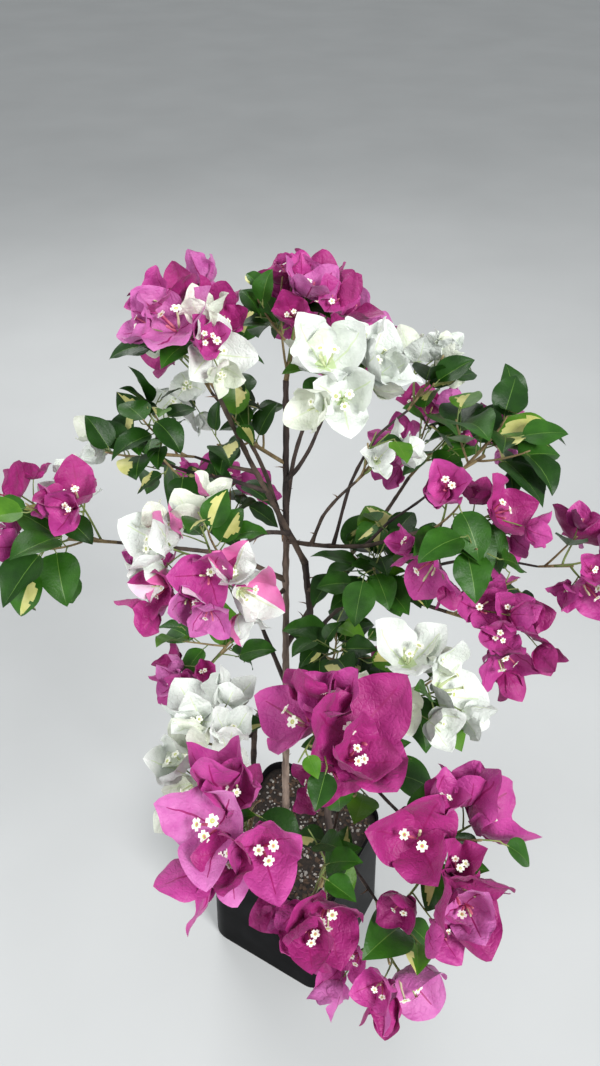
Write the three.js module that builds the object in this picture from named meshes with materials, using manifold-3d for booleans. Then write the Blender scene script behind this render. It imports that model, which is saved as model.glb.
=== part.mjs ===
// A young bougainvillea in flower, growing in a square plastic pot. Millimetres, +Z up.
// The origin is the middle of the pot's flat underside.
import * as THREE from "three";
import { mergeVertices } from "three/addons/utils/BufferGeometryUtils.js";
import Module from "manifold-3d";

// ---------- pot and potting mix ----------
const POT_HEIGHT = 205;
const POT_HALF_BASE = 92;
const POT_HALF_RIM = 87;
const POT_CORNER = 27;
const POT_WALL = 2.4;
const POT_FLOOR = 4;
const POT_EDGE = 3;
const POT_YAW = THREE.MathUtils.degToRad(-30);
const CORNER_STEPS = 5;
const SOIL_TOP = 193;
const GAP = 0.3;
const SHORTEST_EDGE = 0.02;
const SAME_POINT = 0.001;
const NEARLY_UPRIGHT = 0.95;

// ---------- limbs ----------
const STEM_SIDES = 8;
const BOUGH_SIDES = 5;
const MASS_STEM_SIDES = 4;
const TWIG_SIDES = 3;
const BOUGH_SEEDS_FROM = 8;
const LIMB_STEP = 84;
const ZIGZAG = 0.022;
const BOUGH_SHARE = 0.82;
const BOUGH_THIN = 1.55;
const BOUGH_PER_LENGTH = 0.0068;
const BOUGH_TAPER = 0.62;
const BOUGH_ENDS_AT = 0.62;
const FLARE_RADIUS = 3.2;
const FLARE_LENGTH = 16;
const STEM_FOOT = SOIL_TOP + GAP;

const STEMS = {
  stem_left: { foot: [-15, 4, STEM_FOOT], tip: [-8, 26, 866], radii: [4.8, 2.4], bow: [-5, 4] },
  stem_right: { foot: [44, -6, STEM_FOOT], tip: [9, -6, 684], radii: [4.3, 3], bow: [7, 2] },
};

// ---------- foliage masses ----------
const SHOOT_STEM = 1.9;
const TWIG_RADIUS = 1.15;
const TWIG_TIP = 0.8;
const LEAF_THICK = 1.8;
const LEAF_WIDTH = 0.62;
const LEAF_FOLD = 0.09;
const BRACT_WIDTH = 0.8;
const BRACT_CUP = 0.16;
const BRACT_THICK = 2;
const NOTCH_AT = 0.2;
const WIDEST_AT = 0.42;
const BRACTS_A_BLOOM = 3;
const SPACE_MARGIN = 1.2;
const LIMB_MARGIN = 2.5;
const BLADE_MARGIN = 4;
const LEAVES_A_SHOOT = 3;
const BARE_EVERY = 2;
const LEAF_FROM = 0.3;
const LEAF_SET = 0.6;
const EDGE_SAMPLES = [0.25, 0.5, 0.75];
const ROOT_SAMPLE = 0.35;
const REACH_SLACK = 1.28;
const TWIG_CHECKS = 9;
const TRIES = 20;
const GOLDEN_ANGLE = Math.PI * (3 - Math.sqrt(5));

// How a mass's shoots, leaves and blooms are dealt out. Pairs are the lowest and the highest.
const SEED_STEP = 17;
const STEM_DROP = 0.12;
const SHOOTS_FROM = 0.1;
const LEAN_UP = 0.35;
const LEAN_AWAY = 0.45;
const SHOOT_TURN = 0.9;
const SHOOT_SHARE = 0.72;
const BLOOM_INSET = 0.72;
const SHOOT_LENGTHS = [0.8, 1.05];
const LEAF_TURN = 0.7;
const LEAF_SPREADS = [0.6, 1.25];
const LEAF_LENGTHS = [0.72, 1.12];
const LEAF_DROOP = 0.18;
const LEAF_TILT = 0.35;
const BLOOM_OPENINGS = [0.66, 1];
const BRACT_LENGTHS = [0.88, 1.1];
const BRACT_SHRINK = 0.025;

// Each mass: its middle and reach, the limb it grows from and how far along that limb its bough
// leaves (1 is the tip), the bough's bow as [sideways, up], its blooms by colour (P pink, W white),
// its leafy shoots, and the length of its leaves and of its bracts. A direct mass has no bough of its own.
const MASSES = [
  { name: "top_pink", at: [0, 48, 912], reach: 60, from: "stem_left", along: 1,
    direct: true, blooms: "PPPP", shoots: 2, leaf: 52, bract: 38 },
  { name: "upper_left_pink", at: [-82, 0, 912], reach: 66, from: "stem_right", along: 1,
    bow: [0.1, -0.12], blooms: "PPPWWP", shoots: 1, leaf: 54, bract: 40 },
  { name: "top_white", at: [36, -27, 890], reach: 62, from: "stem_left", along: 0.86,
    bow: [0, -0.1], blooms: "WWWW", shoots: 2, leaf: 50, bract: 44 },
  { name: "right_pink", at: [132, -88, 794], reach: 62, from: "stem_left", along: 0.78,
    bow: [0.04, -0.04], blooms: "PPPP", shoots: 2, leaf: 58, bract: 40 },
  { name: "right_white", at: [108, 14, 870], reach: 42, from: "bough_right_pink", along: 0.42,
    bow: [-0.1, 0.1], blooms: "WW", shoots: 2, leaf: 54, bract: 34 },
  { name: "centre_white", at: [62, -46, 832], reach: 50, from: "bough_right_pink", along: 0.24,
    bow: [0.05, 0.1], blooms: "WW", shoots: 1, leaf: 44, bract: 34 },
  { name: "right_leaves", at: [164, -12, 822], reach: 64, from: "bough_right_pink", along: 0.66,
    bow: [-0.1, -0.08], blooms: "P", shoots: 4, leaf: 58, bract: 34 },
  { name: "right_low_pink", at: [172, -84, 688], reach: 62, from: "stem_right", along: 0.93,
    bow: [-0.03, 0.06], blooms: "PPPP", shoots: 1, leaf: 58, bract: 40 },
  { name: "far_right_pink", at: [246, -60, 736], reach: 52, from: "bough_right_low_pink", along: 0.55,
    bow: [-0.08, 0.1], blooms: "PPP", shoots: 1, leaf: 50, bract: 38 },
  { name: "left_leaves", at: [-128, 22, 800], reach: 60, from: "bough_upper_left_pink", along: 0.62,
    bow: [0.05, -0.08], blooms: "", shoots: 4, leaf: 50, bract: 38 },
  { name: "left_white", at: [-162, 50, 776], reach: 46, from: "bough_upper_left_pink", along: 0.5,
    bow: [-0.06, 0.04], blooms: "WW", shoots: 1, leaf: 48, bract: 36 },
  { name: "far_left_pink", at: [-206, -32, 746], reach: 76, from: "stem_left", along: 0.7,
    bow: [0.05, 0.05], blooms: "PPWP", shoots: 2, leaf: 72, bract: 36 },
  { name: "middle_left_mixed", at: [-74, -118, 776], reach: 66, from: "bough_upper_left_pink", along: 0.22,
    bow: [0.05, 0.06], blooms: "WPWPWP", shoots: 1, leaf: 50, bract: 40 },
  { name: "low_left_pink", at: [-90, -50, 588], reach: 56, from: "stem_left", along: 0.68,
    bow: [-0.05, 0.16], blooms: "PP", shoots: 2, leaf: 46, bract: 34 },
  { name: "centre_leaves", at: [-46, 26, 812], reach: 46, from: "stem_left", along: 0.88,
    direct: true, blooms: "", shoots: 3, leaf: 44, bract: 38 },
  { name: "centre_right_leaves", at: [82, -48, 708], reach: 58, from: "stem_right", along: 0.8,
    bow: [0.05, 0.12], blooms: "", shoots: 4, leaf: 52, bract: 38 },
  { name: "centre_low_leaves", at: [52, -62, 606], reach: 58, from: "stem_right", along: 0.77,
    direct: true, blooms: "P", shoots: 4, leaf: 50, bract: 34 },
  { name: "low_right_white", at: [90, -180, 697], reach: 58, from: "stem_right", along: 0.64,
    bow: [0.06, 0.14], blooms: "WWWW", shoots: 1, leaf: 50, bract: 46 },
  { name: "front_middle_pink", at: [50, -248, 682], reach: 56, from: "stem_right", along: 0.52,
    bow: [0, 0.14], blooms: "P", shoots: 3, leaf: 56, bract: 38 },
  { name: "front_top_pink", at: [26, -266, 748], reach: 58, from: "bough_front_middle_pink", along: 0.88,
    bow: [0.08, 0.04], blooms: "PPP", shoots: 1, leaf: 50, bract: 48 },
  { name: "front_right_pink", at: [98, -318, 688], reach: 67, from: "bough_front_middle_pink", along: 0.76,
    bow: [0.05, 0.02], blooms: "PPPPP", shoots: 1, leaf: 54, bract: 45 },
  { name: "front_centre_pink", at: [18, -325, 674], reach: 56, from: "bough_front_middle_pink", along: 0.93,
    bow: [0, 0.04], blooms: "PPP", shoots: 1, leaf: 48, bract: 42 },
  { name: "front_low_pink", at: [63, -350, 638], reach: 52, from: "bough_front_middle_pink", along: 0.66,
    bow: [0.1, -0.08], blooms: "PPP", shoots: 1, leaf: 52, bract: 42 },
  { name: "front_left_pink", at: [-32, -314, 716], reach: 60, from: "stem_left", along: 0.42,
    bow: [0.03, 0.15], blooms: "PPPP", shoots: 1, leaf: 52, bract: 47 },
  { name: "front_left_white", at: [-58, -238, 700], reach: 58, from: "bough_front_left_pink", along: 0.66,
    bow: [0.06, 0.04], blooms: "WWW", shoots: 1, leaf: 48, bract: 42 },
  { name: "back_left_white", at: [-104, 166, 812], reach: 66, from: "stem_left", along: 0.78,
    bow: [0.05, 0.08], blooms: "WWPW", shoots: 2, leaf: 54, bract: 40 },
  { name: "back_top_pink", at: [42, 168, 824], reach: 66, from: "stem_left", along: 0.82,
    bow: [-0.05, 0.06], blooms: "PPPP", shoots: 2, leaf: 54, bract: 40 },
  { name: "back_right_pink", at: [146, 142, 722], reach: 68, from: "stem_left", along: 0.58,
    bow: [0.05, 0.1], blooms: "PPWP", shoots: 2, leaf: 56, bract: 40 },
  { name: "back_low_pink", at: [-84, 138, 634], reach: 66, from: "stem_left", along: 0.5,
    bow: [-0.04, 0.12], blooms: "PPP", shoots: 2, leaf: 54, bract: 40 },
];

// ---------- finishes ----------
const FINISHES = {
  pot: { color: 0x101013, roughness: 0.4, metalness: 0 },
  soil: { color: 0x2b231c, roughness: 0.95, metalness: 0 },
  bark: { color: 0x6a5850, roughness: 0.85, metalness: 0 },
  pink: { color: 0xb4418c, roughness: 0.6, metalness: 0 },
  white: { color: 0xdfe5da, roughness: 0.6, metalness: 0 },
  green: { color: 0x2f5f22, roughness: 0.5, metalness: 0 },
};

const UP = new THREE.Vector3(0, 0, 1);
const ASIDE = new THREE.Vector3(1, 0, 0);

const wasm = await Module();
wasm.setup();

// A stream of numbers from 0 to 1 that is the same for the same seed.
function seeded(seed) {
  let state = Math.imul(seed + 1, 2654435761) >>> 0;
  return () => {
    state = (Math.imul(state, 1664525) + 1013904223) >>> 0;
    return state / 4294967296;
  };
}

const vector = (list) => new THREE.Vector3(...list);
const along = (from, direction, distance) => from.clone().addScaledVector(direction, distance);
const between = (low, high, share) => low + (high - low) * share;

// Two unit vectors square to a direction and to each other.
function crossAxes(direction) {
  const reference = Math.abs(direction.z) > NEARLY_UPRIGHT ? ASIDE : UP;
  const side = new THREE.Vector3().crossVectors(direction, reference).normalize();
  const rise = new THREE.Vector3().crossVectors(side, direction).normalize();
  return [side, rise];
}

// The direction that lies at an angle round another one.
function around(direction, angle) {
  const [side, rise] = crossAxes(direction);
  return side.multiplyScalar(Math.cos(angle)).addScaledVector(rise, Math.sin(angle));
}

// ---------- solids from faces ----------
function solidOf(points, faces) {
  const vertProperties = new Float32Array(points.length * 3);
  points.forEach((point, i) => point.toArray(vertProperties, i * 3));
  const triVerts = new Uint32Array(faces.flat());
  return new wasm.Manifold(new wasm.Mesh({ numProp: 3, vertProperties, triVerts }));
}

// A closed skin over rings of points, each ring with the same number of points.
function loft(rings) {
  const size = rings[0].length;
  const faces = [];
  for (let r = 0; r + 1 < rings.length; r++) {
    for (let i = 0; i < size; i++) {
      const a = r * size + i;
      const b = r * size + ((i + 1) % size);
      faces.push([a, b, b + size], [a, b + size, a + size]);
    }
  }
  const last = (rings.length - 1) * size;
  for (let i = 1; i + 1 < size; i++) {
    faces.push([0, i + 1, i], [last, last + i, last + i + 1]);
  }
  return solidOf(rings.flat(), faces);
}

// A tube along a path, with a radius at each of its points. Its foot may be cut square to another
// direction than its own.
function tube(path, radii, sides, footDirection) {
  let side = null;
  const rings = path.map((point, i) => {
    const before = path[Math.max(i - 1, 0)];
    const after = path[Math.min(i + 1, path.length - 1)];
    const own = after.clone().sub(before).normalize();
    const direction = (i === 0 && footDirection) || own;
    if (side) side.addScaledVector(direction, -side.dot(direction)).normalize();
    else [side] = crossAxes(direction);
    const rise = new THREE.Vector3().crossVectors(direction, side);
    return Array.from({ length: sides }, (_, k) => {
      const angle = (2 * Math.PI * k) / sides;
      return along(along(point, side, radii[i] * Math.cos(angle)), rise, radii[i] * Math.sin(angle));
    });
  });
  return loft(rings);
}

// The solid's one body, without any loose scrap or sealed hollow.
function oneBody(solid) {
  const bodies = solid.decompose().filter((body) => body.volume() > 0);
  const largest = bodies.reduce((best, body) => (body.volume() > best.volume() ? body : best));
  return largest.simplify(SHORTEST_EDGE);
}

function geometryOf(solid) {
  const mesh = solid.getMesh();
  const geometry = new THREE.BufferGeometry();
  geometry.setAttribute("position", new THREE.BufferAttribute(mesh.vertProperties, 3));
  geometry.setIndex(new THREE.BufferAttribute(mesh.triVerts, 1));
  const merged = mergeVertices(geometry, SAME_POINT);
  merged.computeVertexNormals();
  return merged;
}

// ---------- pot and potting mix ----------
function roundedSquare(half, corner, z) {
  const ring = [];
  for (let quarter = 0; quarter < 4; quarter++) {
    const turn = (quarter * Math.PI) / 2;
    for (let step = 0; step <= CORNER_STEPS; step++) {
      const angle = turn + (step / CORNER_STEPS) * (Math.PI / 2);
      const middle = new THREE.Vector3(half - corner, half - corner, z).applyAxisAngle(UP, turn);
      ring.push(middle.add(new THREE.Vector3(Math.cos(angle) * corner, Math.sin(angle) * corner, 0)));
    }
  }
  return ring.map((point) => point.applyAxisAngle(UP, POT_YAW));
}

const potHalf = (z) => between(POT_HALF_BASE, POT_HALF_RIM, z / POT_HEIGHT);

// A block of the pot's outline drawn in by an inset, from one height to another.
function potBlock(low, high, inset) {
  return loft([low, high].map((z) => roundedSquare(potHalf(z) - inset, POT_CORNER - inset, z)));
}

function potSolid() {
  const outside = loft([
    roundedSquare(POT_HALF_BASE - POT_EDGE, POT_CORNER - POT_EDGE, 0),
    roundedSquare(potHalf(POT_EDGE), POT_CORNER, POT_EDGE),
    roundedSquare(POT_HALF_RIM, POT_CORNER, POT_HEIGHT),
  ]);
  return outside.subtract(potBlock(POT_FLOOR, POT_HEIGHT + 1, POT_WALL));
}

const soilSolid = () => potBlock(POT_FLOOR + GAP, SOIL_TOP, POT_WALL + GAP);

// ---------- limbs ----------
// A limb's middle line: from its foot to its tip with a bow, and a slight zigzag from bud to bud.
function limbPath(foot, tip, bow, seed) {
  const run = tip.clone().sub(foot);
  const length = run.length();
  const steps = Math.max(3, Math.round(length / LIMB_STEP));
  const [side] = crossAxes(run.clone().normalize());
  const random = seeded(seed);
  const path = [];
  for (let i = 0; i <= steps; i++) {
    const share = i / steps;
    const arch = 4 * share * (1 - share);
    const point = along(foot, run, share);
    point.addScaledVector(side, arch * bow[0]).addScaledVector(UP, arch * bow[1]);
    if (i > 0 && i < steps) {
      const kink = along(UP.clone(), side, random() * 2 - 1).normalize();
      point.addScaledVector(kink, length * ZIGZAG * (i % 2 ? 1 : -1) * random());
    }
    path.push(point);
  }
  return path;
}

// Where a share of a path's length lies, with the direction and the radius there.
function placeOn(limb, share) {
  const steps = limb.path.length - 1;
  const index = Math.min(Math.floor(share * steps), steps - 1);
  const rest = share * steps - index;
  const [a, b] = [limb.path[index], limb.path[index + 1]];
  return {
    point: a.clone().lerp(b, rest),
    direction: b.clone().sub(a).normalize(),
    radius: between(limb.radii[index], limb.radii[index + 1], rest),
  };
}

const taper = (path, base, tip) => path.map((_, i) => between(base, tip, i / (path.length - 1)));

function growStem(name, index) {
  const { foot, tip, radii, bow } = STEMS[name];
  const path = limbPath(vector(foot), vector(tip), bow, index);
  const low = path[0].clone();
  path.splice(1, 0, along(low, path[1].clone().sub(low).normalize(), FLARE_LENGTH));
  const thickness = taper(path, ...radii);
  thickness[0] += FLARE_RADIUS;
  return { name, path, radii: thickness, sides: STEM_SIDES, footDirection: UP };
}

// The point where a bough or a mass's stem leaves its parent. At a tip it starts 0.3 mm clear.
function startOn(parent, share) {
  const place = placeOn(parent, share);
  if (share === 1) place.point.addScaledVector(place.direction, GAP);
  return place;
}

function growBough(mass, parent, index) {
  const start = startOn(parent, mass.along);
  const middle = vector(mass.at);
  const run = middle.clone().sub(start.point);
  const length = run.length() - mass.reach * BOUGH_ENDS_AT;
  const tip = along(start.point, run.normalize(), length);
  const bow = mass.bow.map((share) => share * length);
  const path = limbPath(start.point, tip, bow, index + BOUGH_SEEDS_FROM);
  const own = BOUGH_THIN + BOUGH_PER_LENGTH * length;
  const base = mass.along === 1 ? start.radius : Math.min(start.radius * BOUGH_SHARE, own);
  const thickness = taper(path, base, base * BOUGH_TAPER);
  const footDirection = mass.along === 1 ? start.direction : undefined;
  const name = "bough_" + mass.name;
  return { name, path, radii: thickness, sides: BOUGH_SIDES, parent, share: mass.along, footDirection };
}

// A limb's solid, cut back from the parent that it leaves so that 0.3 mm stays between them.
function limbSolid(limb, extra = 0) {
  return tube(limb.path, limb.radii.map((radius) => radius + extra), limb.sides, limb.footDirection);
}

function seated(solid, limb, share) {
  if (!limb || share === 1) return solid;
  return oneBody(solid.subtract(limbSolid(limb, GAP)));
}

// ---------- growth inside a mass ----------
const distanceSquared = (point, mass) => point.distanceToSquared(mass.middle) - mass.reach ** 2;

// A point is in a mass's own space where no other mass is nearer, their sizes counted.
function inSpace(point, mass, masses) {
  if (point.distanceTo(mass.middle) > mass.reach * REACH_SLACK) return false;
  const own = distanceSquared(point, mass);
  return masses.every((other) => {
    if (other === mass) return true;
    const apart = other.middle.distanceTo(mass.middle);
    return distanceSquared(point, other) - own > 2 * apart * SPACE_MARGIN;
  });
}

const segment = new THREE.Line3();
const nearest = new THREE.Vector3();

function clearOf(point, limb, margin) {
  for (let i = 0; i + 1 < limb.path.length; i++) {
    segment.set(limb.path[i], limb.path[i + 1]).closestPointToPoint(point, true, nearest);
    if (nearest.distanceTo(point) < Math.max(limb.radii[i], limb.radii[i + 1]) + margin) return false;
  }
  return true;
}

// A blade lies from its root along a direction, its upper face towards a normal.
function bladePoints(blade) {
  const { root, direction, normal, length, width, fold } = blade;
  const side = new THREE.Vector3().crossVectors(direction, normal).normalize();
  const waist = along(root, direction, length * WIDEST_AT);
  return {
    root: root.clone(),
    tip: along(root, direction, length),
    left: along(waist, side, -width / 2),
    right: along(waist, side, width / 2),
    spine: along(waist, normal, -fold * length),
  };
}

// A leaf is a thin blade of eight faces.
function leafSolid(leaf) {
  const { root, tip, left, right, spine } = bladePoints(leaf);
  const top = along(spine, leaf.normal, LEAF_THICK / 2);
  const bottom = along(spine, leaf.normal, -LEAF_THICK / 2);
  const faces = [
    [0, 3, 4], [3, 1, 4], [1, 2, 4], [2, 0, 4],
    [3, 0, 5], [1, 3, 5], [2, 1, 5], [0, 2, 5],
  ];
  return solidOf([root, tip, left, right, top, bottom], faces);
}

// A bloom is one thin cup of bracts with a notch between each two.
function bloomSolid(bloom) {
  const { point, direction } = bloom.place;
  const points = [along(point, direction, -BRACT_THICK), along(point, direction, BRACT_THICK)];
  const notch = (i) => 2 + ((i + BRACTS_A_BLOOM) % BRACTS_A_BLOOM);
  for (let i = 0; i < BRACTS_A_BLOOM; i++) {
    const heading = bractAt(bloom, i + 0.5).direction;
    points.push(along(point, heading, bloom.length * NOTCH_AT));
  }
  const faces = [];
  bloom.bracts.forEach((bract, i) => {
    const { tip, left, right, spine } = bladePoints(bract);
    const first = points.length;
    points.push(tip, left, right);
    points.push(along(spine, bract.normal, BRACT_THICK / 2), along(spine, bract.normal, -BRACT_THICK / 2));
    const rim = [notch(i), first + 2, first, first + 1, notch(i - 1)];
    for (const [hub, middle, turn] of [[1, first + 3, false], [0, first + 4, true]]) {
      const loop = [hub, ...rim];
      loop.forEach((corner, k) => {
        const next = loop[(k + 1) % loop.length];
        faces.push(turn ? [next, corner, middle] : [corner, next, middle]);
      });
    }
  });
  return solidOf(points, faces);
}

// Points spread over the outer part of a blade, which tell whether it has room.
function samplesOf(blade) {
  const { root, tip, left, right, spine } = bladePoints(blade);
  const samples = [tip, left, right, spine];
  for (const share of EDGE_SAMPLES) {
    samples.push(left.clone().lerp(tip, share), right.clone().lerp(tip, share));
    samples.push(spine.clone().lerp(tip, share), left.clone().lerp(right, share));
  }
  samples.push(left.clone().lerp(root, ROOT_SAMPLE), right.clone().lerp(root, ROOT_SAMPLE));
  return samples;
}

function hasRoom(samples, growth, mass, plant) {
  return samples.every(
    (point) =>
      inSpace(point, mass, plant.masses) &&
      plant.limbs.every((limb) => clearOf(point, limb, LIMB_MARGIN)) &&
      clearOf(point, growth.stem, BLADE_MARGIN / 2) &&
      growth.twigs.every((twig) => clearOf(point, twig, BLADE_MARGIN / 2)) &&
      growth.samples.every((other) => point.distanceTo(other) > BLADE_MARGIN),
  );
}

// A point in the hollow between a bloom's bracts is kept free of leaves.
function inHollow(point, bloom) {
  const offset = point.clone().sub(bloom.place.point);
  const height = offset.dot(bloom.place.direction);
  return height > 0 && height < bloom.length && offset.angleTo(bloom.place.direction) < bloom.opening;
}

function twigFits([from, tip], mass, plant) {
  return Array.from({ length: TWIG_CHECKS }, (_, i) => (i + 1) / TWIG_CHECKS).every((share) => {
    const place = from.clone().lerp(tip, share);
    return (
      inSpace(place, mass, plant.masses) &&
      plant.limbs.every((limb) => limb === mass.limb || clearOf(place, limb, LIMB_MARGIN))
    );
  });
}

// A leaf at an angle round its twig, spread outwards and lying open to the sky.
function leafAt(place, angle, spread, length) {
  const outward = around(place.direction, angle);
  const direction = place.direction.clone().multiplyScalar(Math.cos(spread));
  direction.addScaledVector(outward, Math.sin(spread)).addScaledVector(UP, -LEAF_DROOP).normalize();
  const normal = along(UP.clone(), outward, -LEAF_TILT);
  normal.addScaledVector(direction, -normal.dot(direction)).normalize();
  return { root: place.point, direction, normal, length, width: length * LEAF_WIDTH, fold: LEAF_FOLD };
}

// A bract stands round the end of its shoot with its upper face towards the shoot's axis.
function bractAt({ place, opening, turn, length }, i) {
  const outward = around(place.direction, turn + (i * 2 * Math.PI) / BRACTS_A_BLOOM);
  const direction = place.direction.clone().multiplyScalar(Math.cos(opening));
  direction.addScaledVector(outward, Math.sin(opening));
  const normal = place.direction.clone().multiplyScalar(Math.sin(opening));
  normal.addScaledVector(outward, -Math.cos(opening));
  return { root: place.point, direction, normal, length, width: length * BRACT_WIDTH, fold: BRACT_CUP };
}

// Leaves take turns round a twig, and one that finds no room is skipped.
function addLeaves(growth, twig, count, random, mass, plant) {
  const phase = random() * 2 * Math.PI;
  for (let i = 0; i < count; i++) {
    const place = placeOn(twig, between(LEAF_FROM, 1, (i + LEAF_SET) / count));
    for (let attempt = 0; attempt < TRIES; attempt++) {
      const angle = phase + i * GOLDEN_ANGLE + attempt * LEAF_TURN;
      const spread = between(...LEAF_SPREADS, random());
      const length = mass.leaf * between(...LEAF_LENGTHS, random());
      const leaf = leafAt(place, angle, spread, length);
      const samples = samplesOf(leaf);
      const hidden = samples.some((point) => growth.blooms.some((bloom) => inHollow(point, bloom)));
      if (!hidden && hasRoom(samples, growth, mass, plant)) {
        growth.leaves.push(leaf);
        growth.samples.push(...samples);
        break;
      }
    }
  }
}

// A bloom opens less and is smaller where it has little room.
function addBloom(growth, twig, colour, random, mass, plant) {
  const place = placeOn(twig, 1);
  for (let attempt = 0; attempt < TRIES; attempt++) {
    const opening = between(...BLOOM_OPENINGS, random());
    const length = mass.bract * between(...BRACT_LENGTHS, random()) * (1 - attempt * BRACT_SHRINK);
    const bloom = { place, colour, opening, length, turn: random() * 2 * Math.PI };
    bloom.bracts = Array.from({ length: BRACTS_A_BLOOM }, (_, i) => bractAt(bloom, i));
    const samples = bloom.bracts.flatMap(samplesOf);
    if (hasRoom(samples, growth, mass, plant)) {
      growth.blooms.push(bloom);
      growth.samples.push(...samples);
      return;
    }
  }
}

// A mass: one stem from the limb into its middle, shoots from the stem to all sides, a bloom at the
// end of each flowering shoot, and leaves on the others and on every second flowering one.
function growMass(mass, plant, index) {
  const random = seeded(index * SEED_STEP + mass.name.length);
  const start = startOn(mass.limb, mass.share);
  const stemPath = [start.point, along(mass.middle, UP, -mass.reach * STEM_DROP)];
  const atTip = mass.share === 1;
  const stem = {
    path: stemPath,
    radii: taper(stemPath, atTip ? start.radius : SHOOT_STEM, SHOOT_STEM),
    footDirection: atTip ? start.direction : undefined,
  };
  const growth = { stem, twigs: [], leaves: [], blooms: [], samples: [] };
  const away = mass.middle.clone().sub(start.point).normalize();
  const lean = along(UP.clone().multiplyScalar(LEAN_UP), away, LEAN_AWAY);
  const count = mass.blooms.length + mass.shoots;
  const phase = random() * 2 * Math.PI;
  const bloomsBy = (i) => Math.floor((i * mass.blooms.length) / count);
  for (let i = 0; i < count; i++) {
    const flowering = bloomsBy(i + 1) > bloomsBy(i);
    const from = placeOn(stem, between(SHOOTS_FROM, 1, (i + 0.5) / count));
    const height = 1 - (2 * (i + 0.5)) / count;
    const flat = Math.sqrt(1 - height * height);
    for (let attempt = 0; attempt < TRIES; attempt++) {
      const turn = phase + i * GOLDEN_ANGLE + attempt * SHOOT_TURN;
      const heading = new THREE.Vector3(Math.cos(turn) * flat, Math.sin(turn) * flat, height);
      heading.add(lean).normalize();
      const reach = flowering ? mass.reach - mass.bract * BLOOM_INSET : mass.reach * SHOOT_SHARE;
      const tip = along(mass.middle, heading, reach * between(...SHOOT_LENGTHS, random()));
      const path = [from.point, tip];
      if (twigFits(path, mass, plant)) {
        growth.twigs.push({ path, radii: taper(path, TWIG_RADIUS, TWIG_TIP), flowering });
        break;
      }
    }
  }
  const flowering = growth.twigs.filter((twig) => twig.flowering);
  flowering.forEach((twig, i) => addBloom(growth, twig, mass.blooms[i], random, mass, plant));
  growth.twigs.forEach((twig, i) => {
    const underBloom = i % BARE_EVERY === 0 ? 0 : 1;
    addLeaves(growth, twig, twig.flowering ? underBloom : LEAVES_A_SHOOT, random, mass, plant);
  });
  return growth;
}

function massSolid(mass, growth) {
  const parts = [
    tube(growth.stem.path, growth.stem.radii, MASS_STEM_SIDES, growth.stem.footDirection),
    ...growth.twigs.map((twig) => tube(twig.path, twig.radii, TWIG_SIDES)),
    ...growth.leaves.map(leafSolid),
    ...growth.blooms.map(bloomSolid),
  ];
  const fused = parts.reduce((whole, piece) => whole.add(piece));
  return oneBody(seated(fused, mass.limb, mass.share));
}

// ---------- the whole plant ----------
function growPlant() {
  const limbs = new Map();
  Object.keys(STEMS).forEach((name, i) => limbs.set(name, growStem(name, i)));
  MASSES.forEach((mass, i) => {
    const parent = limbs.get(mass.from);
    mass.middle = vector(mass.at);
    mass.limb = parent;
    mass.share = mass.along;
    if (mass.direct) return;
    const bough = growBough(mass, parent, i);
    limbs.set(bough.name, bough);
    mass.limb = bough;
    mass.share = 1;
  });
  return { limbs: [...limbs.values()], masses: MASSES };
}

const plantGroup = new THREE.Group();

function addNode(name, solid, finish) {
  const mesh = new THREE.Mesh(geometryOf(solid), new THREE.MeshStandardMaterial(FINISHES[finish]));
  mesh.name = name;
  plantGroup.add(mesh);
}

function finishOf(mass) {
  if (mass.blooms.length < 2) return "green";
  const white = [...mass.blooms].filter((colour) => colour === "W").length;
  return white * 2 > mass.blooms.length ? "white" : "pink";
}

addNode("pot", potSolid(), "pot");
addNode("soil", soilSolid(), "soil");
const plant = growPlant();
for (const limb of plant.limbs) {
  addNode(limb.name, seated(limbSolid(limb), limb.parent, limb.share), "bark");
}
plant.masses.forEach((mass, i) => {
  addNode("mass_" + mass.name, massSolid(mass, growMass(mass, plant, i)), finishOf(mass));
});

export default plantGroup;
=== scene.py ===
# A young bougainvillea in flower in a square plastic pot: the visual model, in the CAD model's frame.
# The plant's rule works in millimetres, as the part's source does. Meshes are made in metres.
import itertools
from math import acos, atan2, cos, pi, radians, sin, sqrt, tau

import bpy
import numpy as np
from numpy.linalg import norm
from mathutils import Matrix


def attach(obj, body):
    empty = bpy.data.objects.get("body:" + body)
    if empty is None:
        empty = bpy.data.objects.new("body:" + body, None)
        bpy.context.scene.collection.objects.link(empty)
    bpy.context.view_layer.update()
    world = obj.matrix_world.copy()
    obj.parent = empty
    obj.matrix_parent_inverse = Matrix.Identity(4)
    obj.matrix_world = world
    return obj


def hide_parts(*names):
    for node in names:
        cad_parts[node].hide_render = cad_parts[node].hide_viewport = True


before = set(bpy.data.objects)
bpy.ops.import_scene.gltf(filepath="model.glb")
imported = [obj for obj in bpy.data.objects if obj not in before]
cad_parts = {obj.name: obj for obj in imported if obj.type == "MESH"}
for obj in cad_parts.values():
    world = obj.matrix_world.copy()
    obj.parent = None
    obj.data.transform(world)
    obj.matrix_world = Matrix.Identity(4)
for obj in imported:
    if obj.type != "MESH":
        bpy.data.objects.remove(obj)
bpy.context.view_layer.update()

MM = 0.001
UP = np.array([0.0, 0.0, 1.0])
ASIDE = np.array([1.0, 0.0, 0.0])

# ---------- sizes shared with the part's source ----------
POT_HEIGHT = 205
POT_HALF_BASE = 92
POT_HALF_RIM = 87
POT_CORNER = 27
POT_WALL = 2.4
POT_FLOOR = 4
POT_EDGE = 3
POT_YAW = radians(-30)
SOIL_TOP = 193
GAP = 0.3
NEARLY_UPRIGHT = 0.95

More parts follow.
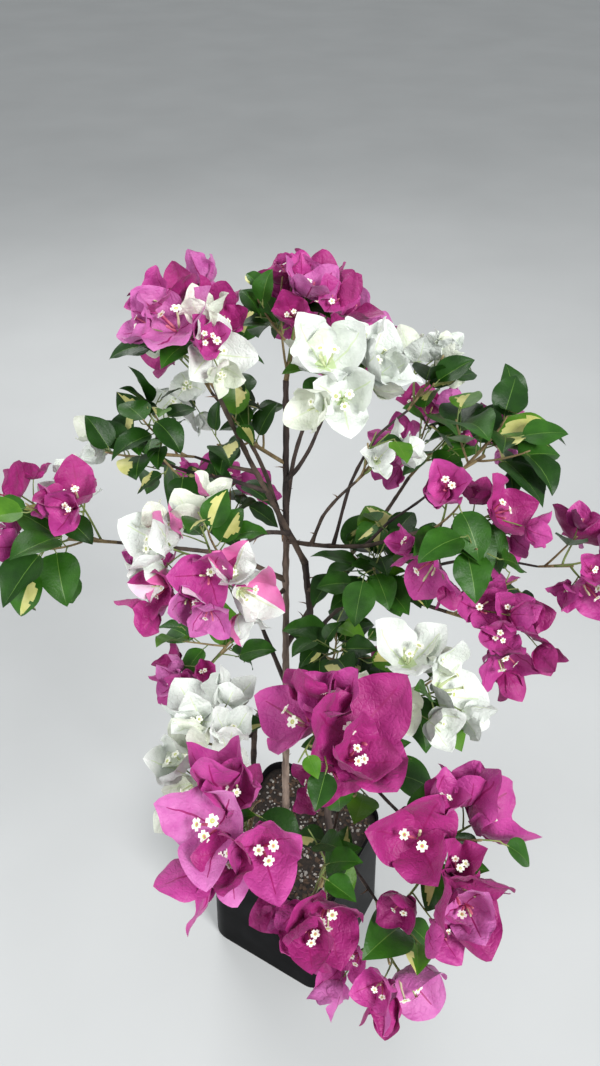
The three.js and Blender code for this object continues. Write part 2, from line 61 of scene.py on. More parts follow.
BOUGH_SEEDS_FROM = 8
LIMB_STEP = 84
ZIGZAG = 0.022
BOUGH_SHARE = 0.82
BOUGH_THIN = 1.55
BOUGH_PER_LENGTH = 0.0068
BOUGH_TAPER = 0.62
BOUGH_ENDS_AT = 0.62
FLARE_RADIUS = 3.2
FLARE_LENGTH = 16
STEM_FOOT = SOIL_TOP + GAP

STEMS = {
    "stem_left": dict(foot=(-15, 4, STEM_FOOT), tip=(-8, 26, 866), radii=(4.8, 2.4), bow=(-5, 4)),
    "stem_right": dict(foot=(44, -6, STEM_FOOT), tip=(9, -6, 684), radii=(4.3, 3), bow=(7, 2)),
}

SHOOT_STEM = 1.9
TWIG_RADIUS = 1.15
TWIG_TIP = 0.8
LEAF_WIDTH = 0.62
BRACT_WIDTH = 0.8
BRACT_CUP = 0.16
LEAF_FOLD = 0.09
WIDEST_AT = 0.42
BRACTS_A_BLOOM = 3
SPACE_MARGIN = 1.2
LIMB_MARGIN = 2.5
BLADE_MARGIN = 4
LEAVES_A_SHOOT = 3
BARE_EVERY = 2
LEAF_FROM = 0.3
LEAF_SET = 0.6
EDGE_SAMPLES = (0.25, 0.5, 0.75)
ROOT_SAMPLE = 0.35
REACH_SLACK = 1.28
TWIG_CHECKS = 9
TRIES = 20
GOLDEN_ANGLE = pi * (3 - sqrt(5))

SEED_STEP = 17
STEM_DROP = 0.12
SHOOTS_FROM = 0.1
LEAN_UP = 0.35
LEAN_AWAY = 0.45
SHOOT_TURN = 0.9
SHOOT_SHARE = 0.72
BLOOM_INSET = 0.72
SHOOT_LENGTHS = (0.8, 1.05)
LEAF_TURN = 0.7
LEAF_SPREADS = (0.6, 1.25)
LEAF_LENGTHS = (0.72, 1.12)
LEAF_DROOP = 0.18
LEAF_TILT = 0.35
BLOOM_OPENINGS = (0.66, 1)
BRACT_LENGTHS = (0.88, 1.1)
BRACT_SHRINK = 0.025

# Name, middle, reach, limb, share along it, bow (None: it has no bough of its own), blooms, leafy
# shoots, leaf length, bract length.
MASSES = [
    ("top_pink", (0, 48, 912), 60, "stem_left", 1, None, "PPPP", 2, 52, 38),
    ("upper_left_pink", (-82, 0, 912), 66, "stem_right", 1, (0.1, -0.12), "PPPWWP", 1, 54, 40),
    ("top_white", (36, -27, 890), 62, "stem_left", 0.86, (0, -0.1), "WWWW", 2, 50, 44),
    ("right_pink", (132, -88, 794), 62, "stem_left", 0.78, (0.04, -0.04), "PPPP", 2, 58, 40),
    ("right_white", (108, 14, 870), 42, "bough_right_pink", 0.42, (-0.1, 0.1), "WW", 2, 54, 34),
    ("centre_white", (62, -46, 832), 50, "bough_right_pink", 0.24, (0.05, 0.1), "WW", 1, 44, 34),
    ("right_leaves", (164, -12, 822), 64, "bough_right_pink", 0.66, (-0.1, -0.08), "P", 4, 58, 34),
    ("right_low_pink", (172, -84, 688), 62, "stem_right", 0.93, (-0.03, 0.06), "PPPP", 1, 58, 40),
    ("far_right_pink", (246, -60, 736), 52, "bough_right_low_pink", 0.55, (-0.08, 0.1), "PPP", 1, 50, 38),
    ("left_leaves", (-128, 22, 800), 60, "bough_upper_left_pink", 0.62, (0.05, -0.08), "", 4, 50, 38),
    ("left_white", (-162, 50, 776), 46, "bough_upper_left_pink", 0.5, (-0.06, 0.04), "WW", 1, 48, 36),
    ("far_left_pink", (-206, -32, 746), 76, "stem_left", 0.7, (0.05, 0.05), "PPWP", 2, 72, 36),
    ("middle_left_mixed", (-74, -118, 776), 66, "bough_upper_left_pink", 0.22,
     (0.05, 0.06), "WPWPWP", 1, 50, 40),
    ("low_left_pink", (-90, -50, 588), 56, "stem_left", 0.68, (-0.05, 0.16), "PP", 2, 46, 34),
    ("centre_leaves", (-46, 26, 812), 46, "stem_left", 0.88, None, "", 3, 44, 38),
    ("centre_right_leaves", (82, -48, 708), 58, "stem_right", 0.8, (0.05, 0.12), "", 4, 52, 38),
    ("centre_low_leaves", (52, -62, 606), 58, "stem_right", 0.77, None, "P", 4, 50, 34),
    ("low_right_white", (90, -180, 697), 58, "stem_right", 0.64, (0.06, 0.14), "WWWW", 1, 50, 46),
    ("front_middle_pink", (50, -248, 682), 56, "stem_right", 0.52, (0, 0.14), "P", 3, 56, 38),
    ("front_top_pink", (26, -266, 748), 58, "bough_front_middle_pink", 0.88,
     (0.08, 0.04), "PPP", 1, 50, 48),
    ("front_right_pink", (98, -318, 688), 67, "bough_front_middle_pink", 0.76,
     (0.05, 0.02), "PPPPP", 1, 54, 45),
    ("front_centre_pink", (18, -325, 674), 56, "bough_front_middle_pink", 0.93,
     (0, 0.04), "PPP", 1, 48, 42),
    ("front_low_pink", (63, -350, 638), 52, "bough_front_middle_pink", 0.66,
     (0.1, -0.08), "PPP", 1, 52, 42),
    ("front_left_pink", (-32, -314, 716), 60, "stem_left", 0.42, (0.03, 0.15), "PPPP", 1, 52, 47),
    ("front_left_white", (-58, -238, 700), 58, "bough_front_left_pink", 0.66,
     (0.06, 0.04), "WWW", 1, 48, 42),
    ("back_left_white", (-104, 166, 812), 66, "stem_left", 0.78, (0.05, 0.08), "WWPW", 2, 54, 40),
    ("back_top_pink", (42, 168, 824), 66, "stem_left", 0.82, (-0.05, 0.06), "PPPP", 2, 54, 40),
    ("back_right_pink", (146, 142, 722), 68, "stem_left", 0.58, (0.05, 0.1), "PPWP", 2, 56, 40),
    ("back_low_pink", (-84, 138, 634), 66, "stem_left", 0.5, (-0.04, 0.12), "PPP", 2, 54, 40),
]

# ---------- sizes of the finer growth ----------
STRAIGHTNESS = 0.35
PARENT_FADES_AT = 0.35
TWIG_BEND = 0.05
BLOOM_SHOOTS = 2
LARGE_BRACT = 44
LEAFY_SHOOTS = 3
DENSE_SHOOTS = 9
DENSE = (
    "top_pink", "front_middle_pink", "front_centre_pink", "front_low_pink", "centre_right_leaves",
    "centre_low_leaves",
)
SIDE_SHOOT_LENGTHS = (14, 34)
SIDE_SHOOT_RADII = (0.75, 0.5)
SIDE_SHOOT_BOW = 1.2
SIDE_SHOOTS_FROM = 0.25
YOUNG_BLOOMS_FROM = 0.5
SIDE_SHOOTS_TO = 0.96
SIDE_TURN = 0.9
SIDE_LEAN = (0.55, 0.8, 0.2)  # along the twig, outward from it, and up
SIDE_LEAVES = 2
SIDE_LEAVES_FROM = 0.6
SIDE_LEAF_LENGTHS = (0.5, 0.95)
SIDE_LEAF_SPREADS = (0.4, 1.2)
YOUNG_LENGTHS = (0.55, 0.8)
YOUNG_OPENINGS = (0.45, 0.8)
FINE_MARGIN = 1.0
FINE_TRIES = 14

# Random streams: one for each mass, and a second for its drawn leaves. A mass may have its own seed.
FOLIAGE_SEED = 31
LEAF_SEED = 12
OWN_SEEDS = {
    "left_white": 11, "left_leaves": 11, "far_left_pink": 41, "front_middle_pink": 51,
    "front_centre_pink": 41, "front_low_pink": 41,
}


# ---------- vectors ----------
def unit(vector):
    return vector / norm(vector)


def between(low, high, share):
    return low + (high - low) * share


def cross_axes(direction):
    """Two unit vectors square to a direction and to each other."""
    side = unit(np.cross(direction, ASIDE if abs(direction[2]) > NEARLY_UPRIGHT else UP))
    return side, unit(np.cross(side, direction))


def around(direction, angle):
    side, rise = cross_axes(direction)
    return side * cos(angle) + rise * sin(angle)


def turned(x, y, angle):
    return x * cos(angle) - y * sin(angle), x * sin(angle) + y * cos(angle)


def seeded(seed):
    """The source's stream of numbers from 0 to 1, the same for the same seed."""
    state = ((seed + 1) * 2654435761) & 0xFFFFFFFF

    def following():
        nonlocal state
        state = (state * 1664525 + 1013904223) & 0xFFFFFFFF
        return state / 4294967296

    return following


# ---------- limbs ----------
class Limb:
    """A stem, bough, twig or shoot: the source's straight runs, and the smooth line drawn there."""

    def __init__(self, path, radii, name="", parent=None, share=1.0, bend=None):
        self.path = np.array(path, dtype=float)
        self.radii = np.array(radii, dtype=float)
        self.name = name
        self.bend = np.zeros(3) if bend is None else bend
        self.shift = np.zeros(3)
        if parent is not None:
            self.shift = parent.drawn(share) - self.path[0]

    def index(self, share):
        steps = len(self.path) - 1
        first = min(int(share * steps), steps - 1)
        return first, share * steps - first

    def place(self, share):
        i, rest = self.index(share)
        a, b = self.path[i], self.path[i + 1]
        return a + (b - a) * rest, unit(b - a), between(self.radii[i], self.radii[i + 1], rest)

    def drawn(self, share):
        """A smooth curve close to the straight runs, which starts on the parent's own curve."""
        i, t = self.index(share)
        last = len(self.path) - 1
        p0, p1 = self.path[max(i - 1, 0)], self.path[i]
        p2, p3 = self.path[i + 1], self.path[min(i + 2, last)]
        smooth = 0.5 * (
            2 * p1 + (p2 - p0) * t + (2 * p0 - 5 * p1 + 4 * p2 - p3) * t**2
            + (3 * p1 - p0 - 3 * p2 + p3) * t**3
        )
        straight = p1 + (p2 - p1) * t
        line = STRAIGHTNESS * straight + (1 - STRAIGHTNESS) * smooth
        fade = max(0.0, 1 - share / PARENT_FADES_AT) ** 2
        return line + self.shift * fade + self.bend * 4 * share * (1 - share)

    def length(self):
        return float(norm(np.diff(self.path, axis=0), axis=1).sum())


def taper(count, base, tip):
    return [between(base, tip, i / (count - 1)) for i in range(count)]


def limb_path(foot, tip, bow, seed):
    run = tip - foot
    length = norm(run)
    steps = max(3, int(length / LIMB_STEP + 0.5))
    side = cross_axes(unit(run))[0]
    random = seeded(seed)
    path = []
    for i in range(steps + 1):
        share = i / steps
        arch = 4 * share * (1 - share)
        point = foot + run * share + side * arch * bow[0] + UP * arch * bow[1]
        if 0 < i < steps:
            kink = unit(UP + side * (random() * 2 - 1))
            point = point + kink * length * ZIGZAG * (1 if i % 2 else -1) * random()
        path.append(point)
    return path


def grow_stem(name, index):
    row = STEMS[name]
    path = limb_path(np.array(row["foot"], float), np.array(row["tip"], float), row["bow"], index)
    path.insert(1, path[0] + unit(path[1] - path[0]) * FLARE_LENGTH)
    radii = taper(len(path), *row["radii"])
    radii[0] += FLARE_RADIUS
    return Limb(path, radii, name)


def start_on(parent, share):
    point, direction, radius = parent.place(share)
    if share == 1:
        point = point + direction * GAP
    return point, direction, radius


def grow_bough(mass, parent, index):
    point, _, radius = start_on(parent, mass.along)
    run = mass.middle - point
    length = norm(run) - mass.reach * BOUGH_ENDS_AT
    tip = point + unit(run) * length
    path = limb_path(point, tip, [share * length for share in mass.bow], index + BOUGH_SEEDS_FROM)
    own = BOUGH_THIN + BOUGH_PER_LENGTH * length
    base = radius if mass.along == 1 else min(radius * BOUGH_SHARE, own)
    radii = taper(len(path), base, base * BOUGH_TAPER)
    return Limb(path, radii, "bough_" + mass.name, parent, mass.along)


# ---------- room in the crown ----------
class Runs:
    """Straight runs of limbs as arrays, to tell how far points are from them."""

    def __init__(self, limbs):
        self.starts = np.concatenate([limb.path[:-1] for limb in limbs])
        self.ends = np.concatenate([limb.path[1:] for limb in limbs])
        self.radii = np.concatenate([np.maximum(limb.radii[:-1], limb.radii[1:]) for limb in limbs])

    def clear(self, points, margin):
        run = self.ends - self.starts
        offset = points[:, None] - self.starts
        share = np.clip(np.einsum("psk,sk->ps", offset, run) / np.sum(run * run, axis=1), 0, 1)
        apart = norm(offset - share[..., None] * run, axis=2)
        return bool(np.all(apart >= self.radii + margin))


class Mass:
    def __init__(self, row):
        self.name, at, self.reach, self.source, self.along, self.bow, *rest = row
        self.blooms, self.shoots, self.leaf, self.bract = rest
        self.middle = np.array(at, float)

    def neighbours(self, masses):
        others = [other for other in masses if other is not self]
        self.other_middles = np.array([other.middle for other in others])
        self.other_reaches = np.array([other.reach for other in others])
        apart = norm(self.other_middles - self.middle, axis=1)
        self.other_margins = 2 * apart * SPACE_MARGIN

    def holds(self, points):
        """Whether the points lie in this mass's own space."""
        own = norm(points - self.middle, axis=1)
        if np.any(own > self.reach * REACH_SLACK):
            return False
        power = own**2 - self.reach**2
        others = np.sum((points[:, None] - self.other_middles) ** 2, axis=2) - self.other_reaches**2
        return bool(np.all(others - power[:, None] > self.other_margins))


class Blade:
    """A leaf or a bract: it lies from its root along a direction, its upper face towards a normal."""

    def __init__(self, root, direction, normal, length, width, fold, offset=None):
        self.root, self.direction, self.normal = root, direction, normal
        self.length, self.width, self.fold = length, width, fold
        self.offset = np.zeros(3) if offset is None else offset

    def drawn_from(self, root, lengthen, widen, size=1):
        """The blade as it is drawn: from its own foot, a little longer and wider than the source's."""
        length, width = self.length * lengthen * size, self.width * widen * size
        return Blade(root, self.direction, self.normal, length, width, self.fold)

    def samples(self):
        side = unit(np.cross(self.direction, self.normal))
        waist = self.root + self.direction * self.length * WIDEST_AT
        tip = self.root + self.direction * self.length
        left, right = waist - side * self.width / 2, waist + side * self.width / 2
        spine = waist - self.normal * self.fold * self.length
        points = [tip, left, right, spine]
        for share in EDGE_SAMPLES:
            points += [between(left, tip, share), between(right, tip, share)]
            points += [between(spine, tip, share), between(left, right, share)]
        points += [between(left, self.root, ROOT_SAMPLE), between(right, self.root, ROOT_SAMPLE)]
        return np.array(points)


class Bloom:
    def __init__(self, twig, colour, opening, length, turn):
        self.twig = twig
        self.point, self.direction, _ = twig.place(1)
        self.colour, self.opening, self.length, self.turn = colour, opening, length, turn
        self.bracts = [self.bract(i) for i in range(BRACTS_A_BLOOM)]
        self.samples = np.concatenate([bract.samples() for bract in self.bracts])

    def hollow_holds(self, points):
        """Whether any of the points lies in the hollow between the bracts."""
        offset = points - self.point
        height = offset @ self.direction
        angle = np.arccos(np.clip(height / norm(offset, axis=1), -1, 1))
        return bool(np.any((height > 0) & (height < self.length) & (angle < self.opening)))

    def bract(self, i):
        outward = around(self.direction, self.turn + i * tau / BRACTS_A_BLOOM)
        direction = self.direction * cos(self.opening) + outward * sin(self.opening)
        normal = self.direction * sin(self.opening) - outward * cos(self.opening)
        return Blade(self.point, direction, normal, self.length, self.length * BRACT_WIDTH, BRACT_CUP)


def leaf_at(place, angle, spread, length, offset=None):
    point, direction, _ = place
    outward = around(direction, angle)
    heading = unit(direction * cos(spread) + outward * sin(spread) - UP * LEAF_DROOP)
    normal = UP - outward * LEAF_TILT
    normal = unit(normal - heading * normal.dot(heading))
    return Blade(point, heading, normal, length, length * LEAF_WIDTH, LEAF_FOLD, offset)


class Growth:
    """What grows in one mass: a stem, twigs, finer shoots, leaves and blooms."""

    def __init__(self, mass, plant_runs, limb_runs):
        self.mass, self.plant_runs, self.limb_runs = mass, plant_runs, limb_runs
        self.twigs, self.shoots, self.leaves, self.blooms = [], [], [], []
        self.samples = np.zeros((0, 3))
        self.own_runs = None

    def has_room(self, samples, margin=BLADE_MARGIN):
        if not self.mass.holds(samples) or not self.plant_runs.clear(samples, LIMB_MARGIN):
            return False
        if not self.own_runs.clear(samples, margin / 2):
            return False
        if not len(self.samples):
            return True
        apart = norm(samples[:, None] - self.samples, axis=2)
        return bool(np.all(apart > margin))

    def twig_fits(self, start, tip):
        shares = (np.arange(TWIG_CHECKS) + 1) / TWIG_CHECKS
        points = start + (tip - start) * shares[:, None]
        return self.mass.holds(points) and self.limb_runs.clear(points, LIMB_MARGIN)

    def leaf_has_room(self, samples, margin=BLADE_MARGIN):
        if any(bloom.hollow_holds(samples) for bloom in self.blooms):
            return False
        return self.has_room(samples, margin)

    def keep(self, kind, grown, samples):
        kind.append(grown)
        self.samples = np.concatenate([self.samples, samples])


def add_leaves(growth, twig, count, random):
    phase = random() * tau
    for i in range(count):
        share = between(LEAF_FROM, 1, (i + LEAF_SET) / count)
        place = twig.place(share)
        for attempt in range(TRIES):
            angle = phase + i * GOLDEN_ANGLE + attempt * LEAF_TURN
            spread = between(*LEAF_SPREADS, random())
            length = growth.mass.leaf * between(*LEAF_LENGTHS, random())
            leaf = leaf_at(place, angle, spread, length, twig.drawn(share) - place[0])
            samples = leaf.samples()
            if growth.leaf_has_room(samples):
                growth.keep(growth.leaves, leaf, samples)
                break


def add_bloom(growth, twig, colour, random):
    for attempt in range(TRIES):
        opening = between(*BLOOM_OPENINGS, random())
        length = growth.mass.bract * between(*BRACT_LENGTHS, random()) * (1 - attempt * BRACT_SHRINK)
        bloom = Bloom(twig, colour, opening, length, random() * tau)
        if growth.has_room(bloom.samples):
            growth.keep(growth.blooms, bloom, bloom.samples)
            return


def grow_mass(mass, limbs, index):
    """The source's rule: shoots from one stem to all sides, with blooms and leaves where they fit."""
    random = seeded(index * SEED_STEP + len(mass.name))
    others = [limb for limb in limbs if limb is not mass.limb]
    growth = Growth(mass, Runs(limbs), Runs(others))
    point, _, radius = start_on(mass.limb, mass.share)
    base = radius if mass.share == 1 else SHOOT_STEM
    stem_path = [point, mass.middle - UP * mass.reach * STEM_DROP]
    growth.stem = Limb(stem_path, [base, SHOOT_STEM], "", mass.limb, mass.share)
    away = unit(mass.middle - point)
    lean = UP * LEAN_UP + away * LEAN_AWAY
    count = len(mass.blooms) + mass.shoots
    phase = random() * tau
    for i in range(count):
        flowering = (i + 1) * len(mass.blooms) // count > i * len(mass.blooms) // count
        share = between(SHOOTS_FROM, 1, (i + 0.5) / count)
        start = growth.stem.place(share)[0]
        height = 1 - 2 * (i + 0.5) / count
        flat = sqrt(1 - height * height)
        for attempt in range(TRIES):
            turn = phase + i * GOLDEN_ANGLE + attempt * SHOOT_TURN
            heading = unit(np.array([cos(turn) * flat, sin(turn) * flat, height]) + lean)
            reach = mass.reach - mass.bract * BLOOM_INSET if flowering else mass.reach * SHOOT_SHARE
            tip = mass.middle + heading * reach * between(*SHOOT_LENGTHS, random())
            if growth.twig_fits(start, tip):
                bend = around(unit(tip - start), turn) * norm(tip - start) * TWIG_BEND
                twig = Limb([start, tip], [TWIG_RADIUS, TWIG_TIP], "", growth.stem, share, bend)
                twig.flowering = flowering
                growth.twigs.append(twig)
                break
    growth.own_runs = Runs([growth.stem] + growth.twigs)
    flowering_twigs = [twig for twig in growth.twigs if twig.flowering]
    for colour, twig in zip(mass.blooms, flowering_twigs):
        add_bloom(growth, twig, colour, random)
    for i, twig in enumerate(growth.twigs):
        under_bloom = 0 if i % BARE_EVERY == 0 else 1
        add_leaves(growth, twig, under_bloom if twig.flowering else LEAVES_A_SHOOT, random)
    return growth


def grow_finer(growth, random):
    """The rule carried further: side shoots from each twig, with younger blooms round each bloom
    and small leaves on the leafy twigs."""
    leafy = DENSE_SHOOTS if growth.mass.name in DENSE else LEAFY_SHOOTS
    young = BLOOM_SHOOTS if growth.mass.bract < LARGE_BRACT else BLOOM_SHOOTS - 1
    for twig in growth.twigs:
        like = next((bloom for bloom in growth.blooms if bloom.twig is twig), None)
        count = young if like else leafy
        low = YOUNG_BLOOMS_FROM if like else SIDE_SHOOTS_FROM
        phase = random.uniform(0, tau)
        for i in range(count):
            share = between(low, SIDE_SHOOTS_TO, (i + random.uniform(0.2, 0.8)) / count)
            point, direction, _ = twig.place(share)
            for attempt in range(FINE_TRIES):
                outward = around(direction, phase + i * GOLDEN_ANGLE + attempt * SIDE_TURN)
                heading = unit(direction * SIDE_LEAN[0] + outward * SIDE_LEAN[1] + UP * SIDE_LEAN[2])
                tip = point + heading * random.uniform(*SIDE_SHOOT_LENGTHS)
                if not growth.twig_fits(point, tip):
                    continue
                bow = -outward * SIDE_SHOOT_BOW
                shoot = Limb([point, tip], SIDE_SHOOT_RADII, "", twig, share, bow)
                if like:
                    grown = add_young_bloom(growth, shoot, like.colour, random)
                else:
                    grown = add_small_leaves(growth, shoot, random)
                if grown:
                    growth.shoots.append(shoot)
                    break


def add_young_bloom(growth, shoot, colour, random):
    length = growth.mass.bract * random.uniform(*YOUNG_LENGTHS)
    opening = random.uniform(*YOUNG_OPENINGS)
    bloom = Bloom(shoot, colour, opening, length, random.uniform(0, tau))
    if not growth.has_room(bloom.samples, FINE_MARGIN):
        return False
    growth.keep(growth.blooms, bloom, bloom.samples)
    shoot.leaves = []
    return True


def add_small_leaves(growth, shoot, random):
    before = len(growth.leaves)
    phase = random.uniform(0, tau)
    for i in range(SIDE_LEAVES):
        place = shoot.place(between(SIDE_LEAVES_FROM, 1, i / (SIDE_LEAVES - 1)))
        angle = phase + i * GOLDEN_ANGLE
        length = growth.mass.leaf * random.uniform(*SIDE_LEAF_LENGTHS)
        leaf = leaf_at(place, angle, random.uniform(*SIDE_LEAF_SPREADS), length)
        samples = leaf.samples()
        if growth.leaf_has_room(samples, FINE_MARGIN):
            growth.keep(growth.leaves, leaf, samples)
    shoot.leaves = growth.leaves[before:]
    return bool(shoot.leaves)


def grow_plant():
    limbs = {name: grow_stem(name, i) for i, name in enumerate(STEMS)}
    masses = [Mass(row) for row in MASSES]
    for i, mass in enumerate(masses):
        mass.neighbours(masses)
        parent = limbs[mass.source]
        mass.limb, mass.share = parent, mass.along
        if mass.bow is not None:
            bough = grow_bough(mass, parent, i)
            limbs[bough.name] = bough
            mass.limb, mass.share = bough, 1
    return limbs, masses


# ---------- meshes ----------
TUBE_POINT = 0.15


def placed(name, data, place=(0, 0, 0)):
    thing = bpy.data.objects.new(name, data)
    bpy.context.scene.collection.objects.link(thing)
    thing.location = place
    return thing


class Sheaf:
    """Many small surfaces gathered into one mesh, with a material for each face."""

    def __init__(self):
        self.points, self.faces, self.marks = [], [], []
        self.count = 0

    def add(self, points, faces, marks=0):
        self.points.append(points)
        self.faces += [[i + self.count for i in face] for face in faces]
        self.marks += np.broadcast_to(marks, len(faces)).tolist()
        self.count += len(points)

    def piece(self, name, materials, slot, nodes=(), smooth=True):
        """Makes the piece, which rides on the one body and may stand for CAD nodes."""
        mesh = bpy.data.meshes.new(name)
        mesh.from_pydata((np.concatenate(self.points) * MM).tolist(), [], self.faces)
        for material in materials:
            mesh.materials.append(material)
        mesh.polygons.foreach_set("material_index", self.marks)
        mesh.polygons.foreach_set("use_smooth", [smooth] * len(self.faces))
        mesh.update()
        piece = placed(name, mesh)
        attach(piece, "root")
        if nodes:
            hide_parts(*nodes)


class Filled:
    """The small cells of space that drawn blades lie in, to tell where another would cross them."""

    def __init__(self, cell):
        self.cell = cell
        self.cells = set()

    def keys(self, points):
        return set(map(tuple, np.floor(points / self.cell).astype(int).tolist()))

    def add(self, points):
        self.cells |= self.keys(points)

    def shared(self, points):
        """How many of the cells that the points lie in, or border on, are filled."""
        near = set()
        for axis in np.eye(3):
            half = axis * self.cell / 2
            near |= self.keys(points + half) | self.keys(points - half)
        return len(near & self.cells)


def grid_faces(rows, columns, closed=False):
    """Quads between rows of points. A closed grid joins its last column to its first."""
    faces = []
    for r in range(rows - 1):
        for c in range(columns if closed else columns - 1):
            a, b = r * columns + c, r * columns + (c + 1) % columns
            faces.append((a, b, b + columns, a + columns))
    return faces


def tube_faces(rows, sides):
    """A tube's faces. Two points after its rings, at its foot and tip, close its ends with fans."""
    last = (rows - 1) * sides
    foot, tip = last + sides, last + sides + 1
    faces = grid_faces(rows, sides, closed=True)
    for i in range(sides):
        after = (i + 1) % sides
        faces += [(foot, after, i), (tip, last + i, last + after)]
    return faces


def tube_points(centres, radii, sides):
    """Rings of points round a line of centres. radii has one row of numbers for each ring."""
    centres = np.asarray(centres)
    tangents = np.gradient(centres, axis=0)
    tangents /= norm(tangents, axis=1)[:, None]
    side = cross_axes(tangents[0])[0]
    angles = np.arange(sides) * tau / sides
    rings = []
    for centre, tangent, radius in zip(centres, tangents, radii):
        side = unit(side - tangent * side.dot(tangent))
        rise = np.cross(tangent, side)
        spokes = np.cos(angles)[:, None] * side + np.sin(angles)[:, None] * rise
        rings.append(centre + spokes * np.broadcast_to(radius, sides)[:, None])
    return np.concatenate(rings)


def add_tube(sheaf, centres, radii, sides, mark=0):
    """A tube that is drawn to a point just past its last centre. mark is a number, or one a face."""
    beyond = centres[-1] + (centres[-1] - centres[-2]) * TUBE_POINT
    points = np.concatenate([tube_points(centres, radii, sides), [centres[0], beyond]])
    faces = tube_faces(len(centres), sides)
    marks = np.broadcast_to(mark, len(faces) - 2 * sides).tolist()
    sheaf.add(points, faces, marks + marks[-1:] * 2 * sides)


def line_along(limb, count):
    return np.array([limb.drawn(share) for share in np.linspace(0, 1, count)])


def add_thin_limb(sheaf, limb, rings, sides, mark=0):
    add_tube(sheaf, line_along(limb, rings), np.linspace(*limb.radii, rings), sides, mark)


# ---------- materials ----------
WANDER_DETAIL, GRAIN_DETAIL = 5, 4
WANDER_ENDS = (0.32, 0.68)  # where on the noise the darker and the lighter colour are whole
NET_SCALE = 210
NET_RIDGE = 0.14


def linear(red, green, blue):
    """A colour as the shader wants it, from 0 to 255 values as seen on a screen."""
    values = [value / 255 for value in (red, green, blue)]
    return tuple(v / 12.92 if v <= 0.04045 else ((v + 0.055) / 1.055) ** 2.4 for v in values) + (1.0,)


def set_sockets(node, **values):
    for socket, value in values.items():
        node.inputs[socket.replace("_", " ")].default_value = value


def surface(
    name, dark, light, roughness, scale, bump=0.0, bump_scale=400, stretch=(1, 1, 1), net=0.0, **sockets
):
    """A material whose colour wanders between two near ones, with a fine relief and a net of veins.
    Scales are per metre, bump is in millimetres, and net is the veins' part of the relief."""
    material = bpy.data.materials.new(name)
    material.use_nodes = True
    nodes, links = material.node_tree.nodes, material.node_tree.links
    shader = nodes["Principled BSDF"]
    set_sockets(shader, Roughness=roughness, **sockets)
    place, fit = nodes.new("ShaderNodeTexCoord"), nodes.new("ShaderNodeMapping")
    set_sockets(fit, Scale=stretch)
    noise, ramp = nodes.new("ShaderNodeTexNoise"), nodes.new("ShaderNodeValToRGB")
    set_sockets(noise, Scale=scale, Detail=WANDER_DETAIL)
    for element, position, colour in zip(ramp.color_ramp.elements, WANDER_ENDS, (dark, light)):
        element.position = position
        element.color = linear(*colour)
    links.new(place.outputs["Object"], fit.inputs["Vector"])
    links.new(fit.outputs["Vector"], noise.inputs["Vector"])
    links.new(noise.outputs["Fac"], ramp.inputs["Fac"])
    links.new(ramp.outputs["Color"], shader.inputs["Base Color"])
    if not bump:
        return material
    grain, relief = nodes.new("ShaderNodeTexNoise"), nodes.new("ShaderNodeBump")
    set_sockets(grain, Scale=bump_scale, Detail=GRAIN_DETAIL)
    set_sockets(relief, Strength=1.0, Distance=bump * MM)
    links.new(fit.outputs["Vector"], grain.inputs["Vector"])
    height = grain.outputs["Fac"]
    if net:
        cells, ridge = nodes.new("ShaderNodeTexVoronoi"), nodes.new("ShaderNodeMapRange")
        cells.feature = "DISTANCE_TO_EDGE"
        set_sockets(cells, Scale=NET_SCALE)
        set_sockets(ridge, From_Max=NET_RIDGE, To_Min=0.0, To_Max=net)
        both = nodes.new("ShaderNodeMath")
        links.new(fit.outputs["Vector"], cells.inputs["Vector"])
        links.new(cells.outputs["Distance"], ridge.inputs["Value"])
        links.new(ridge.outputs["Result"], both.inputs[0])
        links.new(height, both.inputs[1])
        height = both.outputs["Value"]
    links.new(height, relief.inputs["Height"])
    links.new(relief.outputs["Normal"], shader.inputs["Normal"])
    return material


LEAF_SKIN = dict(roughness=0.42, scale=60, bump=0.3, bump_scale=500, net=0.06, Specular_IOR_Level=0.28)
LEAF_FINISHES = [
    surface("leaf_deep", (21, 55, 10), (35, 75, 16), **LEAF_SKIN),
    surface("leaf_mid", (32, 74, 13), (50, 100, 22), **LEAF_SKIN),
    surface("leaf_light", (62, 110, 21), (90, 138, 34), **LEAF_SKIN),
    surface("leaf_vein", (72, 112, 34), (100, 138, 52), 0.44, 60, 0.1, 500),
    surface("leaf_cream", (188, 190, 104), (216, 212, 140), 0.44, 90, 0.2, 500),
    surface("leaf_stalk", (98, 122, 58), (136, 146, 82), 0.5, 80, 0.1, 500),
]
DEEP, MID, LIGHT, VEIN, CREAM, STALK = range(6)

